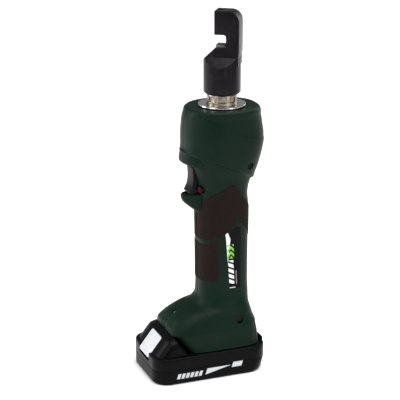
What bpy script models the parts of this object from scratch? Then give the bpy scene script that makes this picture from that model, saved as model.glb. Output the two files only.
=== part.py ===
"""A cordless hydraulic hand tool: C-shaped work head, neck, clamshell housing and slide-on battery.

Frame: metres, +Z up along the tool's axis, origin on that axis at the battery's base, trigger at -Y.
"""

from math import cos, pi, radians, sin

import bmesh
import bpy
from mathutils import Matrix, Vector

MM = 0.001
GAP = 0.3 * MM  # clearance between neighbouring pieces

# Driving dimensions
BATTERY_HALF_WIDTH = 37.5 * MM
BATTERY_FRONT = -80 * MM
BATTERY_BACK = 34.5 * MM
BATTERY_SPLIT = 14 * MM
BATTERY_TOP = 26.7 * MM
DECK_TOP = 33.2 * MM
FOOT_BOTTOM = 27 * MM
HOUSING_TOP = 261 * MM
WALL = 2.6 * MM
HEAD_ANGLE = radians(56)  # from +X to the C's arm, seen from above
HEAD_RADIUS = 17.5 * MM
HEAD_BOTTOM = 273 * MM
HEAD_TOP = 350.5 * MM
PLATE_HALF = 9 * MM
ROD_RADIUS = 7.5 * MM
RAM_TOP = 311 * MM
PISTON_BOTTOM = 210 * MM
PISTON_TOP = 219 * MM
CYLINDER_BORE = 17.6 * MM
CYLINDER_TOP = 253.7 * MM
GEAR_MODULE = 0.7 * MM
SUN_TEETH, PLANET_TEETH, RING_TEETH = 12, 15, 42
GEAR_BOTTOM = 130 * MM
GEAR_DEPTH = 8 * MM
ECCENTRIC = 1 * MM
PUMP_AXIS_Z = 157 * MM
TRIGGER_PIVOT = Vector((0, -22 * MM, 201 * MM))
RETRACT_CENTRE = Vector((12 * MM, -27 * MM, 184 * MM))

# Stations of the housing, bottom to top: height, front, back, half width, all in mm, and squareness
STATIONS = (
    (27, 43, 36.2, 33.5, 5), (33, 45.5, 36, 33.5, 5), (43.5, 56.5, 35, 33.3, 5), (48, 55.5, 33.8, 33.1, 4.8),
    (53, 53.5, 32.4, 32.6, 4.6), (58, 51, 30.4, 31.4, 4.2), (62, 48.5, 29, 29.6, 3.8), (66, 44.5, 27.8, 27.2, 3.4),
    (70, 38.5, 26.6, 24.8, 3), (74, 31, 25.8, 22.6, 2.8), (79, 26.4, 25.4, 21.2, 2.6), (90, 25.2, 25.2, 20.6, 2.5),
    (130, 25.4, 25.2, 20.6, 2.5), (172, 25.2, 25.6, 20.8, 2.5), (182, 26, 26.8, 21.8, 2.5),
    (190, 27.4, 29.4, 24, 2.5), (198, 29.6, 33, 27, 2.5), (206, 33.5, 36.4, 29.6, 2.5), (214, 38, 39.4, 31.8, 2.5),
    (221, 40, 41, 33, 2.4), (233, 40.2, 42.2, 33.6, 2.4), (246, 38.6, 39.2, 33.2, 2.3), (256, 37, 37.4, 32.4, 2.2),
    (259.5, 36, 36.2, 31.6, 2.2), (261, 34.4, 34.6, 30, 2.2),
)


def clear_scene():
    for old in list(bpy.data.objects):
        bpy.data.objects.remove(old, do_unlink=True)


def material(name, colour, roughness, metallic=0.0):
    made = bpy.data.materials.new(name)
    made.use_nodes = True
    shader = made.node_tree.nodes["Principled BSDF"]
    shader.inputs["Base Color"].default_value = (*colour, 1.0)
    shader.inputs["Roughness"].default_value = roughness
    shader.inputs["Metallic"].default_value = metallic
    return made


def finish_mesh(name, mesh_data, finish, smooth=True):
    """Makes an object of a bmesh, with outward faces and its own material."""
    bmesh.ops.recalc_face_normals(mesh_data, faces=mesh_data.faces)
    mesh = bpy.data.meshes.new(name)
    mesh_data.to_mesh(mesh)
    mesh_data.free()
    made = bpy.data.objects.new(name, mesh)
    bpy.context.scene.collection.objects.link(made)
    if finish is not None:
        mesh.materials.append(material(name + "_finish", *finish))
    if smooth:
        mesh.shade_smooth()
        mesh.set_sharp_from_angle(angle=radians(35))
    return made


def as_cutter(piece):
    piece.hide_render = True
    piece.display_type = "WIRE"
    return piece


def combine(piece, other, operation):
    """Adds a Boolean modifier that leaves the other object as a guide."""
    step = piece.modifiers.new(operation.title(), "BOOLEAN")
    step.operation = operation
    step.solver = "EXACT"
    step.object = as_cutter(other)
    return piece


def cut(piece, *cutters):
    for cutter in cutters:
        combine(piece, cutter, "DIFFERENCE")
    return piece


def join(piece, *others):
    for other in others:
        combine(piece, other, "UNION")
    return piece


def loft(name, rings, finish):
    """Skins rings of equal length and caps both ends."""
    data = bmesh.new()
    rows = [[data.verts.new(point) for point in ring] for ring in rings]
    for low, high in zip(rows, rows[1:]):
        count = len(low)
        for i in range(count):
            j = (i + 1) % count
            data.faces.new((low[i], low[j], high[j], high[i]))
    data.faces.new(list(reversed(rows[0])))
    data.faces.new(rows[-1])
    bmesh.ops.triangulate(data, faces=data.faces)
    return finish_mesh(name, data, finish)


def prism(name, outline, low, high, finish, frame=None):
    """Extrudes an outline of (a, b) pairs; frame maps (a, b, depth) to the model."""
    frame = frame or Matrix.Identity(4)
    rings = [[frame @ Vector((a, b, depth)) for a, b in outline] for depth in (low, high)]
    return loft(name, rings, finish)


SIDE_VIEW = Matrix(((0, 0, 1, 0), (1, 0, 0, 0), (0, 1, 0, 0), (0, 0, 0, 1)))  # (a, b, depth) is (y, z, x)
ALONG_Y = Matrix(((1, 0, 0, 0), (0, 0, 1, 0), (0, 1, 0, 0), (0, 0, 0, 1)))  # (a, b, depth) is (x, z, y)
HEAD_TURN = Matrix.Rotation(HEAD_ANGLE, 4, "Z")
HEAD_PLATE = HEAD_TURN @ ALONG_Y  # (a, b, depth) is (towards the arm, z, across the plate)
HEAD_SECTION = HEAD_TURN @ SIDE_VIEW  # (a, b, depth) is (across the plate, z, towards the arm)


def box(name, low, high, finish=None, turn=None):
    """A block between two corners in millimetres."""
    outline = [(low[0], low[1]), (high[0], low[1]), (high[0], high[1]), (low[0], high[1])]
    outline = [(a * MM, b * MM) for a, b in outline]
    return prism(name, outline, low[2] * MM, high[2] * MM, finish, turn)


def turned(name, profile, finish=None, frame=None, steps=20):
    """Spins a closed outline of (radius, height) pairs about the frame's Z axis."""
    frame = frame or Matrix.Identity(4)
    data = bmesh.new()
    tip = 1e-7
    rows = []
    for i in range(steps):
        angle = 2 * pi * i / steps
        rows.append([
            None if radius < tip else data.verts.new(frame @ Vector((radius * cos(angle), radius * sin(angle), z)))
            for radius, z in profile
        ])
    on_axis = [
        data.verts.new(frame @ Vector((0, 0, z))) if radius < tip else None
        for radius, z in profile
    ]
    count = len(profile)
    for i in range(steps):
        here, there = rows[i], rows[(i + 1) % steps]
        for k in range(count):
            m = (k + 1) % count
            corners = [here[k] or on_axis[k], there[k] or on_axis[k], there[m] or on_axis[m], here[m] or on_axis[m]]
            ring = [corner for n, corner in enumerate(corners) if corner not in corners[:n]]
            if len(ring) > 2:
                data.faces.new(ring)
    return finish_mesh(name, data, finish)


def bar(radius, low, high):
    """The outline of a solid round bar."""
    return ((0, low), (radius, low), (radius, high), (0, high))


def tube(inner, outer, low, high):
    return ((inner, low), (outer, low), (outer, high), (inner, high))


def along(direction, centre):
    """A frame at a centre whose Z runs along a direction."""
    return Matrix.Translation(centre) @ direction.to_track_quat("Z", "Y").to_matrix().to_4x4()


def spring(name, centre, axis, radius, wire, length, turns, finish):
    """A coil of round wire made as a tube along a helix."""
    frame = along(axis, centre)
    steps = int(turns * 8)
    rings = []
    for i in range(steps + 1):
        angle = 2 * pi * turns * i / steps
        height = wire + (length - 2 * wire) * i / steps
        out = Vector((cos(angle), sin(angle), 0))
        at = out * radius + Vector((0, 0, height))
        rings.append([
            frame @ (at + wire * (out * cos(2 * pi * k / 5) + Vector((0, 0, sin(2 * pi * k / 5)))))
            for k in range(5)
        ])
    return loft(name, rings, finish)


# Finishes: colour, roughness, metallic
GREEN = ((0.012, 0.040, 0.028), 0.5)
RUBBER = ((0.018, 0.012, 0.011), 0.75)
BLACK_PLASTIC = ((0.010, 0.010, 0.011), 0.4)
GREY_PLASTIC = ((0.62, 0.63, 0.62), 0.45)
LABEL = ((0.012, 0.012, 0.012), 0.3)
RED_PLASTIC = ((0.16, 0.008, 0.012), 0.45)
BLACK_OXIDE = ((0.025, 0.024, 0.028), 0.38, 1.0)
DIE_STEEL = ((0.10, 0.10, 0.11), 0.35, 1.0)
BRIGHT_STEEL = ((0.62, 0.62, 0.62), 0.22, 1.0)
NICKEL = ((0.52, 0.47, 0.40), 0.25, 1.0)
BRASS = ((0.55, 0.40, 0.15), 0.3, 1.0)
COPPER = ((0.72, 0.33, 0.16), 0.35, 1.0)
ALUMINIUM = ((0.55, 0.56, 0.58), 0.4, 1.0)
SEAL = ((0.02, 0.02, 0.02), 0.6)
BOARD = ((0.02, 0.16, 0.07), 0.5)
LENS = ((0.85, 0.88, 0.85), 0.1)
CELL = ((0.10, 0.35, 0.30), 0.4)
MAGNET = ((0.06, 0.06, 0.07), 0.6, 0.4)
BLADDER = ((0.05, 0.03, 0.02), 0.7)


def station_at(z):
    """Front, back, half width and squareness of the housing at a height, all in metres."""
    z = min(max(z / MM, STATIONS[0][0]), STATIONS[-1][0])
    for low, high in zip(STATIONS, STATIONS[1:]):
        if z <= high[0]:
            share = (z - low[0]) / (high[0] - low[0])
            values = [a + (b - a) * share for a, b in zip(low[1:], high[1:])]
            break
    return values[0] * MM, values[1] * MM, values[2] * MM, values[3]


def skin_point(angle, z, offset=0.0, side=1):
    """A point of the housing's skin; the angle runs from -90 degrees at the front to 90 at the back."""
    front, back, half, square = station_at(z)
    c, s = cos(angle), sin(angle)
    x = (half + offset) * max(c, 0.0) ** (2 / square)
    depth = (back if s > 0 else front) + offset
    return Vector((side * x, (1 if s > 0 else -1) * depth * abs(s) ** (2 / square), z))


def half_shell(name, side, offset, low, high, finish, inset=0.0):
    """One half of the housing's body as a solid, grown or shrunk by an offset."""
    heights = [low] + [row[0] * MM for row in STATIONS if low < row[0] * MM < high] + [high]
    count = 12
    rings = []
    for z in heights:
        ring = [skin_point(-pi / 2 + pi * i / count, z, offset, side) for i in range(count + 1)]
        ring[0].x = ring[-1].x = 0
        rings.append([point + Vector((side * inset, 0, 0)) for point in ring])
    return loft(name, rings, finish)


def full_shell(name, offset, low, high):
    """The housing's whole body as a solid, used to hollow both halves."""
    heights = [low] + [row[0] * MM for row in STATIONS if low < row[0] * MM < high] + [high]
    count = 12
    rings = []
    for z in heights:
        half = [skin_point(-pi / 2 + pi * i / count, z, offset) for i in range(count)]
        other = [skin_point(pi / 2 - pi * i / count, z, offset, -1) for i in range(count)]
        rings.append(half + other)
    return loft(name, rings, None)


HOOD = ((-18, 219), (-39.6, 219.6), (-41.6, 211.5), (-41, 208.6), (-34, 207), (-18, 206.6))
LEDGE = ((-18, 178.6), (-31, 178.6), (-39.5, 181.4), (-41.4, 180), (-40.6, 175.8), (-29, 160), (-18, 156))
DECK_WAY = ((-22.3, 20), (22.3, 20), (22.3, 29.75), (25.6, 29.75), (25.6, 33.7), (-25.6, 33.7), (-25.6, 29.75),
            (-22.3, 29.75))
SCREWS = ((28.6, 7.3, 54), (24.6, 18, 206.5))


def build_housing_half(side, name):
    """A hollow clamshell half with the trigger hood, the finger ledge, battery rail and screw holes."""
    start, end = sorted((side * 0.15, side * 12.2))
    piece = half_shell(name, side, 0.0, FOOT_BOTTOM, HOUSING_TOP, GREEN, inset=0.15 * MM)
    for label, outline in (("hood", HOOD), ("ledge", LEDGE)):
        outline = [(a * MM, b * MM) for a, b in outline]
        join(piece, prism(f"{name}_{label}_guide", outline, start * MM, end * MM, None, SIDE_VIEW))
    cut(piece, full_shell(f"{name}_hollow", -WALL, FOOT_BOTTOM - 2 * MM, HOUSING_TOP - 2.6 * MM))
    low, high = sorted((side * 22.6, side * 31.5))
    join(piece, box(f"{name}_rail_guide", (low, -38, 27.2), (high, 28, 29.6)))
    cut(
        piece,
        prism(f"{name}_deck_way", [(a * MM, b * MM) for a, b in DECK_WAY], -70 * MM, -5 * MM, None, ALONG_Y),
        box(f"{name}_trigger_way", (-8.2, -50, 181.2), (8.2, -10, 206.4)),
        turned(f"{name}_neck_way", bar(17.6 * MM, 0.25, 0.27)),
        turned(f"{name}_led_way", bar(3.2 * MM, -8 * MM, 8 * MM), None,
               along(Vector((0, -0.8, 0.6)), Vector((0, -46 * MM, 64 * MM)))),
        turned(f"{name}_button_way", bar(3.3 * MM, -0.02, 0.02), None, along(Vector((0, -1, 0)), RETRACT_CENTRE)),
        turned(f"{name}_pin_way", bar(1.8 * MM, -0.013, 0.013), None, along(Vector((1, 0, 0)), TRIGGER_PIVOT)),
    )
    if side > 0:
        for number, (x, y, z) in enumerate(SCREWS):
            place = along(Vector((1, 0, 0)), Vector((x, y, z)) * MM)
            cut(piece, turned(f"{name}_screw_way_{number}", bar(3.3 * MM, -1.2 * MM, 20 * MM), None, place),
                turned(f"{name}_shank_way_{number}", bar(1.9 * MM, -10 * MM, 10 * MM), None, place))
    return piece


def pad(name, side, start, end, bounds, proud, finish):
    """A skin on the grip between two angles, with its lower and upper edge given by a function."""
    across, up = 8, 4
    inner, outer = [], []
    for i in range(across + 1):
        angle = radians(start + (end - start) * i / across)
        low, high = bounds(start + (end - start) * i / across)
        heights = [(low + (high - low) * k / up) * MM for k in range(up + 1)]
        inner.append([skin_point(angle, z, 0.5 * MM, side) for z in heights])
        outer.append([skin_point(angle, z, 0.5 * MM + proud, side) for z in reversed(heights)])
    return loft(name, [low + high for low, high in zip(inner, outer)], finish)


def upper_pad_edges(angle):
    """The rubber's lower edge rises to a rounded peak at the side; the upper edge peaks beside the trigger."""
    lower = 134 + 18 * max(0.0, cos(radians(angle - 18) * 1.15))
    upper = 154 + 32 * max(0.0, cos(radians(angle - 12) * 0.95)) ** 2.4
    return lower, upper


def lower_pad_edges(angle):
    return 93 + 3 * (angle + 85) / 55, 128 + 5 * (angle + 85) / 55


def label_edges(angle):
    return 84 + 4 * abs(angle - 10) / 20, 146 - 12 * abs(angle - 12) / 18


def build_housing():
    for side, word in ((1, "right"), (-1, "left")):
        build_housing_half(side, f"housing_{word}")
        pad(f"upper_grip_pad_{word}", side, -80, 86, upper_pad_edges, 1.2 * MM, RUBBER)
        pad(f"lower_grip_pad_{word}", side, -84, -28, lower_pad_edges, 1.2 * MM, RUBBER)
        pad(f"side_label_{word}", side, -8, 30, label_edges, 0.3 * MM, LABEL)
    for number, (x, y, z) in enumerate(SCREWS):
        place = along(Vector((1, 0, 0)), Vector((x - 1, y, z)) * MM)
        outline = ((0, -6.5 * MM), (1.5 * MM, -6.5 * MM), (1.5 * MM, 0), (2.9 * MM, 0), (2.9 * MM, 1.6 * MM),
                   (1.3 * MM, 1.6 * MM), (1.3 * MM, 0.6 * MM), (0, 0.6 * MM))
        turned(f"housing_screw_{number + 1}", outline, BRIGHT_STEEL, place, 16)


def build_neck():
    turned("collar_washer", tube(14.7 * MM, 22.5 * MM, 261.3 * MM, 263 * MM), BRIGHT_STEEL, None, 28)
    outline = ((8.4 * MM, 254 * MM), (17 * MM, 254 * MM), (17 * MM, 257 * MM), (14.3 * MM, 257 * MM),
               (14.3 * MM, 272.6 * MM), (7.9 * MM, 272.6 * MM), (7.9 * MM, 262 * MM), (10.2 * MM, 262 * MM),
               (10.2 * MM, 257 * MM), (8.4 * MM, 257 * MM))
    neck = turned("neck_sleeve", outline, NICKEL, None, 24)
    for number in range(8):
        turn = Matrix.Rotation(2 * pi * (number + 0.5) / 8, 4, "Z")
        cut(neck, box(f"neck_pocket_{number}", (12.9, -3.2, 265), (16, 3.2, 270.4), None, turn))
    turned("rod_seal", tube(7.8 * MM, 9.9 * MM, 257.4 * MM, 261.6 * MM), SEAL, None, 32)
    turned(
        "hydraulic_cylinder",
        ((2 * MM, 205 * MM), (23 * MM, 205 * MM), (23 * MM, CYLINDER_TOP), (CYLINDER_BORE, CYLINDER_TOP),
         (CYLINDER_BORE, 208.5 * MM), (2 * MM, 208.5 * MM)),
        ALUMINIUM, None, 32)


def head_outline():
    """The C in its own plane: towards the arm, and up."""
    points = [(-17.5, 300), (-17.5, 304), (-5.3, 316.2), (5.3, 316.2), (5.3, 327), (3.6, 328.7), (-5.7, 328.7),
              (-5.7, 350.5)]
    points += [(7.5 + 10 * cos(radians(a)), 340.5 + 10 * sin(radians(a))) for a in (90, 67.5, 45, 22.5, 0)]
    points += [(17.5, 300)]
    return [(a * MM, b * MM) for a, b in points]


def build_head():
    frame = turned("head_frame", ((0, HEAD_BOTTOM), (16 * MM, HEAD_BOTTOM), (HEAD_RADIUS, HEAD_BOTTOM + 1.5 * MM),
                                  (HEAD_RADIUS, 308.5 * MM), (0, 308.5 * MM)), BLACK_OXIDE, HEAD_TURN, 28)
    plate = prism("head_plate_guide", head_outline(), -PLATE_HALF, PLATE_HALF, None, HEAD_PLATE)
    section = ((-20, 270), (20, 270), (20, 296.5), (7.5, 309), (-7.5, 309), (-20, 296.5))
    opening = ((-30, 291.8), (-5.3, 316.5), (-5.3, 322), (-30, 322))
    for guide, operation in (
        (prism("head_section_guide", [(a * MM, b * MM) for a, b in section], -0.03, 0.03, None, HEAD_SECTION),
         "INTERSECT"),
        (plate, "UNION"),
        (prism("head_chamfer_guide", [(a * MM, b * MM) for a, b in opening], -0.03, 0.03, None, HEAD_PLATE),
         "DIFFERENCE"),
        (turned("ram_way", bar(ROD_RADIUS + GAP, 270 * MM, 321.5 * MM), None, HEAD_TURN), "DIFFERENCE"),
        (box("upper_die_pocket", (-6.5, -6.3, 320), (3, 6.3, 334), None, HEAD_TURN), "DIFFERENCE"),
        (turned("die_screw_way", ((0, 330 * MM), (1.8 * MM, 330 * MM), (1.8 * MM, 347 * MM), (3.1 * MM, 347 * MM),
                                  (3.1 * MM, 352 * MM), (0, 352 * MM)), None,
                HEAD_TURN @ Matrix.Translation((-1.3 * MM, 0, 0)), 20), "DIFFERENCE"),
    ):
        combine(frame, guide, operation)
    frame.modifiers[1].solver = "MANIFOLD"
    box("upper_die", (-5.4, -6, 328.7), (2.7, 6, 333.6), DIE_STEEL, HEAD_TURN)
    turned("die_screw", ((0, 334 * MM), (1.5 * MM, 334 * MM), (1.5 * MM, 347.3 * MM), (2.8 * MM, 347.3 * MM),
                         (2.8 * MM, 350 * MM), (1.2 * MM, 350 * MM), (1.2 * MM, 348.6 * MM), (0, 348.6 * MM)),
           BRIGHT_STEEL, HEAD_TURN @ Matrix.Translation((-1.3 * MM, 0, 0)), 20)


def build_ram():
    groove = 15.7 * MM
    outline = ((0, PISTON_BOTTOM), (17.2 * MM, PISTON_BOTTOM), (17.2 * MM, 212.7 * MM), (groove, 212.7 * MM),
               (groove, 215.9 * MM), (17.2 * MM, 215.9 * MM), (17.2 * MM, PISTON_TOP), (ROD_RADIUS, PISTON_TOP),
               (ROD_RADIUS, RAM_TOP), (0, RAM_TOP))
    turned("ram_piston", outline, BRIGHT_STEEL)
    turned("piston_seal", tube(16 * MM, 17.4 * MM, 213 * MM, 215.6 * MM), SEAL)
    die = ((-4.9, 311.3), (4.9, 311.3), (4.9, 316.8), (2.9, 318.8), (-4.9, 318.8))
    prism("lower_die", [(a * MM, b * MM) for a, b in die], -5.2 * MM, 5.2 * MM, DIE_STEEL, HEAD_PLATE)
    spring("return_spring", Vector((0, 0, PISTON_TOP + GAP)), Vector((0, 0, 1)), 12.5 * MM, 1.3 * MM,
           34.1 * MM, 6, BRIGHT_STEEL)


def gear_outline(teeth, phase, grow=1.0, thin=0.36):
    """A gear's outline; grow is -1 for a ring gear, whose teeth point inwards."""
    pitch = teeth * GEAR_MODULE / 2
    step = 2 * pi / teeth
    points = []
    for tooth in range(teeth):
        centre = phase + tooth * step
        for share, height in ((-0.5 * thin - 0.1, -0.95), (-0.3 * thin, 0.7), (0.3 * thin, 0.7),
                              (0.5 * thin + 0.1, -0.95)):
            radius = pitch + grow * height * GEAR_MODULE
            points.append((radius * cos(centre + share * step), radius * sin(centre + share * step)))
    return points


def build_gearbox():
    """Sun, three planets and a fixed ring, with the teeth in mesh at rest."""
    top = GEAR_BOTTOM + GEAR_DEPTH
    sun = prism("sun_gear", gear_outline(SUN_TEETH, 0.0), GEAR_BOTTOM, top, BRIGHT_STEEL)
    cut(sun, turned("sun_bore", bar(1.9 * MM, 0.12, 0.15), None, None, 16))
    orbit = (SUN_TEETH + PLANET_TEETH) * GEAR_MODULE / 2
    ring_phase = 0.0
    for number in range(3):
        angle = 2 * pi * number / 3
        share = angle * SUN_TEETH / (2 * pi)
        phase = angle + pi - (0.5 - share) * 2 * pi / PLANET_TEETH
        place = Matrix.Translation((orbit * cos(angle), orbit * sin(angle), 0))
        planet = prism(f"planet_gear_{number + 1}", gear_outline(PLANET_TEETH, phase), GEAR_BOTTOM, top,
                       BRIGHT_STEEL, place)
        cut(planet, turned(f"planet_bore_{number}", bar(2.1 * MM, 0.12, 0.15), None, place, 16))
        if number == 0:
            ring_phase = angle - ((angle - phase) * PLANET_TEETH / (2 * pi) + 0.5) * 2 * pi / RING_TEETH
    ring = turned("ring_gear", bar(17.5 * MM, GEAR_BOTTOM - 1.5 * MM, 146 * MM), BLACK_PLASTIC)
    cut(
        ring,
        prism("ring_teeth_guide", gear_outline(RING_TEETH, ring_phase + pi / RING_TEETH, 1.0, 0.64), 0.12, 0.15, None),
    )
    carrier = turned("planet_carrier", ((0, 139 * MM), (13 * MM, 139 * MM), (13 * MM, 142 * MM), (4 * MM, 142 * MM),
                                        (4 * MM, 152 * MM), (0, 152 * MM)), BRIGHT_STEEL)
    for number in range(3):
        angle = 2 * pi * number / 3
        place = Matrix.Translation((orbit * cos(angle), orbit * sin(angle), 0))
        join(carrier, turned(f"planet_pin_{number}", bar(1.8 * MM, 131 * MM, 140 * MM), None, place, 16))
    shift = Matrix.Translation((0, -ECCENTRIC, 0))
    join(carrier, turned("eccentric_journal", bar(3.2 * MM, 151 * MM, 162 * MM), None, shift, 24))
    turned("eccentric_bearing", tube(3.5 * MM, 6 * MM, 153.5 * MM, 161 * MM), BRIGHT_STEEL, shift, 32)
    turned("gearbox_plate", tube(4.3 * MM, 17.5 * MM, 146.3 * MM, 149.4 * MM), ALUMINIUM)


def build_motor():
    can = turned("motor_can", ((5 * MM, 127.9 * MM), (5 * MM, 125 * MM), (16.3 * MM, 125 * MM), (16.3 * MM, 84 * MM),
                               (17.5 * MM, 84 * MM), (17.5 * MM, 127.9 * MM)), BRIGHT_STEEL)
    cut(can, box("can_vent", (-3, -20, 90), (3, 20, 96)))
    turned("motor_end_cap", ((3 * MM, 78 * MM), (17.5 * MM, 78 * MM), (17.5 * MM, 83.7 * MM), (14.2 * MM, 83.7 * MM),
                             (14.2 * MM, 80.5 * MM), (3 * MM, 80.5 * MM)), BLACK_PLASTIC)
    turned("field_magnet", tube(13 * MM, 16 * MM, 98 * MM, 122 * MM), MAGNET)
    turned("armature", ((0, 79 * MM), (2.5 * MM, 79 * MM), (2.5 * MM, 85 * MM), (6 * MM, 85 * MM), (6 * MM, 95 * MM),
                        (2.5 * MM, 95 * MM), (2.5 * MM, 98 * MM), (12.3 * MM, 98 * MM), (12.3 * MM, 122 * MM),
                        (2.5 * MM, 122 * MM), (2.5 * MM, 129 * MM), (1.6 * MM, 129 * MM), (1.6 * MM, 138 * MM),
                        (0, 138 * MM)), COPPER)
    holder = turned("brush_holder", tube(12 * MM, 16 * MM, 86 * MM, 94 * MM), BLACK_PLASTIC)
    join(holder, box("brush_left", (-13, -2.5, 87), (-6.4, 2.5, 93)), box("brush_right", (6.4, -2.5, 87), (13, 2.5, 93)))
    turned("shaft_bearing", tube(2.8 * MM, 4.7 * MM, 125.2 * MM, 127.8 * MM), BRIGHT_STEEL, None, 24)


def build_pump():
    block = turned("pump_block", bar(17 * MM, 149.8 * MM, 204.6 * MM), ALUMINIUM)
    cut(
        block,
        box("switch_room", (-18, -20, 178), (18, -9, 210)),
        turned("eccentric_room", bar(8.2 * MM, 145 * MM, 163.5 * MM)),
        turned("plunger_way", bar(3.1 * MM, 0, 30 * MM), None, along(Vector((0, 1, 0)), Vector((0, 0, PUMP_AXIS_Z))),
               24),
        turned("oil_way", bar(1.6 * MM, 0, 80 * MM), None, Matrix.Translation((0, 12 * MM, 157 * MM)), 16),
        turned("relief_way", bar(4.2 * MM, -20 * MM, 0), None,
               along(Vector((0, 1, 0)), Vector((0, 24 * MM, 185 * MM))), 24),
    )
    turned("pump_plunger", bar(2.95 * MM, 7.3 * MM, 12.9 * MM), BRIGHT_STEEL,
           along(Vector((0, 1, 0)), Vector((0, 0, PUMP_AXIS_Z))), 24)
    turned("plunger_plug", bar(2.8 * MM, 13.3 * MM, 16.6 * MM), BRASS,
           along(Vector((0, 1, 0)), Vector((0, 0, PUMP_AXIS_Z))), 24)
    turned("relief_valve", ((0, 5 * MM), (3.8 * MM, 5 * MM), (3.8 * MM, 16.6 * MM), (2 * MM, 16.6 * MM),
                            (2 * MM, 15.2 * MM), (0, 15.2 * MM)), BRASS,
           along(Vector((0, 1, 0)), Vector((0, 0, 185 * MM))), 24)
    outline = [(23.8, 206), (32, 206.5), (35, 214), (36.8, 222), (37.4, 232), (35, 244), (33, 250), (23.8, 250)]
    prism("oil_bladder", [(a * MM, b * MM) for a, b in outline], -9 * MM, 9 * MM, BLADDER, SIDE_VIEW)


def build_controls():
    box("micro_switch", (-6, -18.7, 182), (6, -9.6, 197), BLACK_PLASTIC)
    outline = [(-19.5, 204.1), (-30, 205.8), (-33.6, 203.5), (-34.6, 193), (-36.7, 183.4), (-35.6, 182.2),
               (-32.6, 182.4), (-30, 190), (-28, 195), (-19.5, 197.6)]
    trigger = prism("trigger", [(a * MM, b * MM) for a, b in outline], -7.8 * MM, 7.8 * MM, BLACK_PLASTIC, SIDE_VIEW)
    cut(trigger, turned("trigger_bore", bar(1.8 * MM, -9 * MM, 9 * MM), None, along(Vector((1, 0, 0)), TRIGGER_PIVOT), 16))
    trigger.modifiers[-1].solver = "MANIFOLD"
    turned("trigger_pin", bar(1.5 * MM, -12 * MM, 12 * MM), BRIGHT_STEEL, along(Vector((1, 0, 0)), TRIGGER_PIVOT), 20)
    spring("trigger_spring", Vector((0, -20 * MM, 186.5 * MM)), Vector((0, -1, 0)), 2.2 * MM, 0.35 * MM, 10 * MM, 6,
           BRIGHT_STEEL)
    place = along(Vector((0, -1, 0)), RETRACT_CENTRE)
    turned("retract_button", ((0, -11 * MM), (1.6 * MM, -11 * MM), (1.6 * MM, -1 * MM), (2.9 * MM, -1 * MM),
                              (2.9 * MM, 2 * MM), (2.3 * MM, 2.8 * MM), (0, 3 * MM)), RED_PLASTIC, place, 24)
    spring("retract_spring", RETRACT_CENTRE + Vector((0, 8.5 * MM, 0)), Vector((0, -1, 0)), 2.4 * MM, 0.3 * MM,
           7.2 * MM, 5, BRIGHT_STEEL)
    turned("status_led", ((0, -6 * MM), (2.6 * MM, -6 * MM), (2.6 * MM, 1.5 * MM), (1.6 * MM, 2.6 * MM),
                          (0, 3 * MM)), LENS, along(Vector((0, -0.8, 0.6)), Vector((0, -46 * MM, 64 * MM))), 24)


def build_terminals():
    box("control_board", (-20, -28, 58), (20, 20, 59.8), BOARD)
    block = box("terminal_block", (-20, 2, 38.6), (20, 24, 50), BLACK_PLASTIC)
    join(block, *[box(f"blade_{x}", (x - 0.4, 6, 29.4), (x + 0.4, 20, 40)) for x in (-14, 0, 14)])


def rounded_plan(half, front, back, radius):
    """A rectangle with round corners, seen from above, in millimetres."""
    points = []
    for cx, cy, first in ((half - radius, back - radius, 0), (radius - half, back - radius, 90),
                          (radius - half, front + radius, 180), (half - radius, front + radius, 270)):
        for step in range(5):
            turn = radians(first + 90 * step / 4)
            points.append(((cx + radius * cos(turn)) * MM, (cy + radius * sin(turn)) * MM))
    return points


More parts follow.
